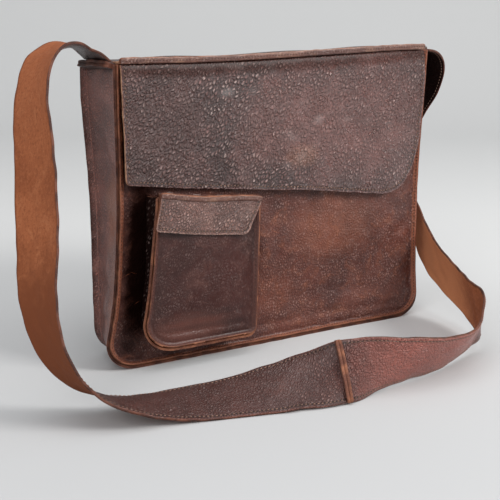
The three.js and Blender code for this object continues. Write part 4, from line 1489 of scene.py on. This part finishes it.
BEND = 0.0327
LEFT_BLEND = ("bag", "strap", (-0.199, 0, 0.316), (-0.199 - BEND, -BEND, 0.316 - BEND))
RIGHT_BLEND = ("bag", "strap", (0.199, 0, 0.316), (0.199 + BEND, -BEND, 0.316 - BEND))
join_index = int(np.argmin(np.abs(strap_at - JOIN_AT)))
strap_half("strap_left_leather", 0, join_index - 1, ["strap_left", "strap_anchor_left"])
strap_half(
    "strap_right_leather", join_index + 1, len(strap_at) - 1,
    ["strap_right", "strap_anchor_right"],
)


def strap_stitches(name, first, last, v, node):
    index = np.arange(first, last + 1)
    low = strap_point(index, np.full(len(index), v), LEATHER / 2)
    row = stitch_row(name, low, strap_grain[index], THREAD, spacing=0.0040)
    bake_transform(row)
    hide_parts(node)


row_v = STRAP_WIDTH / 2 - STITCH_INSET
for part, first, last, blend in (
    ("left", 8, join_index - 4, LEFT_BLEND),
    ("right", join_index + 4, len(strap_at) - 9, RIGHT_BLEND),
):
    for edge_name, v in (("front", -row_v), ("back", row_v)):
        node = f"strap_stitch_{part}_{edge_name}"
        strap_stitches(f"strap_{part}_{edge_name}_stitches", first, last, v, node)

join_v = np.linspace(-STRAP_WIDTH / 2 - 0.0005, STRAP_WIDTH / 2 + 0.0005, 60)
join_line = strap_point(np.full(60, join_index), join_v, -LEATHER / 2 + 0.0003)
strap_ridge = ridge(
    "strap_ridge_leather", join_line, everywhere(strap_grain[join_index], 60),
    everywhere(strap_along[join_index], 60), 0.0062, 0.0064, [RIDGE_SKIN, EDGE], 85,
    shape=lambda points: points,
)
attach(strap_ridge, "strap")
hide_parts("strap_ridge")

# The raised seam that joins each end of the strap to the top of the gusset
for side_name, sign in (("left", -1), ("right", 1)):
    seam_y = np.linspace(-0.0335, 0.0335, 50)
    seam = np.stack([np.full(50, sign * 0.1885), seam_y, np.full(50, BAG_HEIGHT - 0.0035)], -1)
    outward = everywhere(unit([sign * 0.96, 0.0, 0.28]), 50)
    upward = everywhere(unit([-sign * 0.28, 0.0, 0.96]), 50)
    piece = ridge(
        f"strap_seam_{side_name}", seam, outward, upward, 0.0064, 0.0135,
        [RIDGE_DARK, EDGE_DARK], 87 + sign,
    )
    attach(piece, "bag")

# ---------------------------------------------------------------- floor, light and camera

FLOOR_NEAR, FLOOR_FAR = -2.5, 1.6
COVE_RADIUS = 1.2
WALL_HEIGHT = 4.0
# The floor tone is painted darker and the wall tone lighter: painted shade and painted light.
FLOOR_TONE = (0.485, 0.49, 0.497)
WALL_TONE = (0.675, 0.68, 0.68)


def backdrop():
    """A pale floor that curves up into a plain wall far behind, the floor painted darker and the wall
    lighter: painted shade and painted light that even out how the lamps fall on them.
    """
    profile = [(FLOOR_NEAR, 0.0), (FLOOR_FAR, 0.0)]
    for a in np.linspace(0.1, math.pi / 2, 14):
        depth = FLOOR_FAR + COVE_RADIUS * math.sin(a)
        profile.append((depth, COVE_RADIUS - COVE_RADIUS * math.cos(a)))
    profile.append((FLOOR_FAR + COVE_RADIUS, WALL_HEIGHT))
    yaw = math.radians(CAMERA_YAW)
    verts, faces = [], []
    for depth, height in profile:
        for side in (-5.0, 5.0):
            x = depth * math.sin(yaw) + side * math.cos(yaw)
            y = depth * math.cos(yaw) - side * math.sin(yaw)
            verts.append((x, y, height))
    for k in range(len(profile) - 1):
        faces.append((2 * k, 2 * k + 1, 2 * k + 3, 2 * k + 2))
    g = Graph("backdrop_paint")
    place = g.add("ShaderNodeTexCoord").outputs["Object"]
    parts = g.add("ShaderNodeSeparateXYZ", Vector=place)
    along_x = g.times(parts.outputs[0], math.sin(yaw))
    deep = g.plus(along_x, g.times(parts.outputs[1], math.cos(yaw)))
    tone = g.mix(g.step(deep, -0.45, 0.7), FLOOR_TONE, WALL_TONE)
    paint = g.finish(tone, 0.75, g.add("ShaderNodeBump", Strength=0.0).outputs[0], Specular_IOR_Level=0.2)
    return mesh_piece("backdrop", verts, faces, None, None, [paint])


backdrop()

world = bpy.data.worlds.new("studio")
bpy.context.scene.world = world
world.use_nodes = True
world.node_tree.nodes["Background"].inputs[0].default_value = (0.965, 0.975, 0.99, 1.0)
world.node_tree.nodes["Background"].inputs[1].default_value = 0.56


def soft_light(name, place, target, size, power, colour=(1, 1, 1)):
    data = bpy.data.lights.new(name, "AREA")
    data.shape = "RECTANGLE"
    data.size, data.size_y = size
    data.energy = power
    data.color = colour
    light = bpy.data.objects.new(name, data)
    bpy.context.scene.collection.objects.link(light)
    light.location = place
    light.rotation_euler = (Vector(target) - Vector(place)).to_track_quat("-Z", "Y").to_euler()


soft_light("key", (1.15, -1.75, 1.25), (0.0, 0.0, 0.14), (0.9, 0.8), 46.0, (1.0, 0.985, 0.96))
soft_light("fill", (-1.7, -1.3, 1.2), (0.0, 0.0, 0.15), (1.4, 1.2), 19.0)
soft_light("top", (-0.3, -0.5, 2.4), (0.0, -0.1, 0.0), (2.0, 1.6), 20.0)

camera_data = bpy.data.cameras.new("camera")
camera_data.lens = 82.8
camera_data.sensor_width = 36.0
camera = bpy.data.objects.new("camera", camera_data)
camera.location = (-0.674, -1.033, 0.386)
camera.rotation_euler = (math.radians(90 - CAMERA_PITCH), 0.0, math.radians(-CAMERA_YAW))
bpy.context.scene.collection.objects.link(camera)
bpy.context.scene.camera = camera
bpy.context.scene.view_settings.view_transform = "Standard"
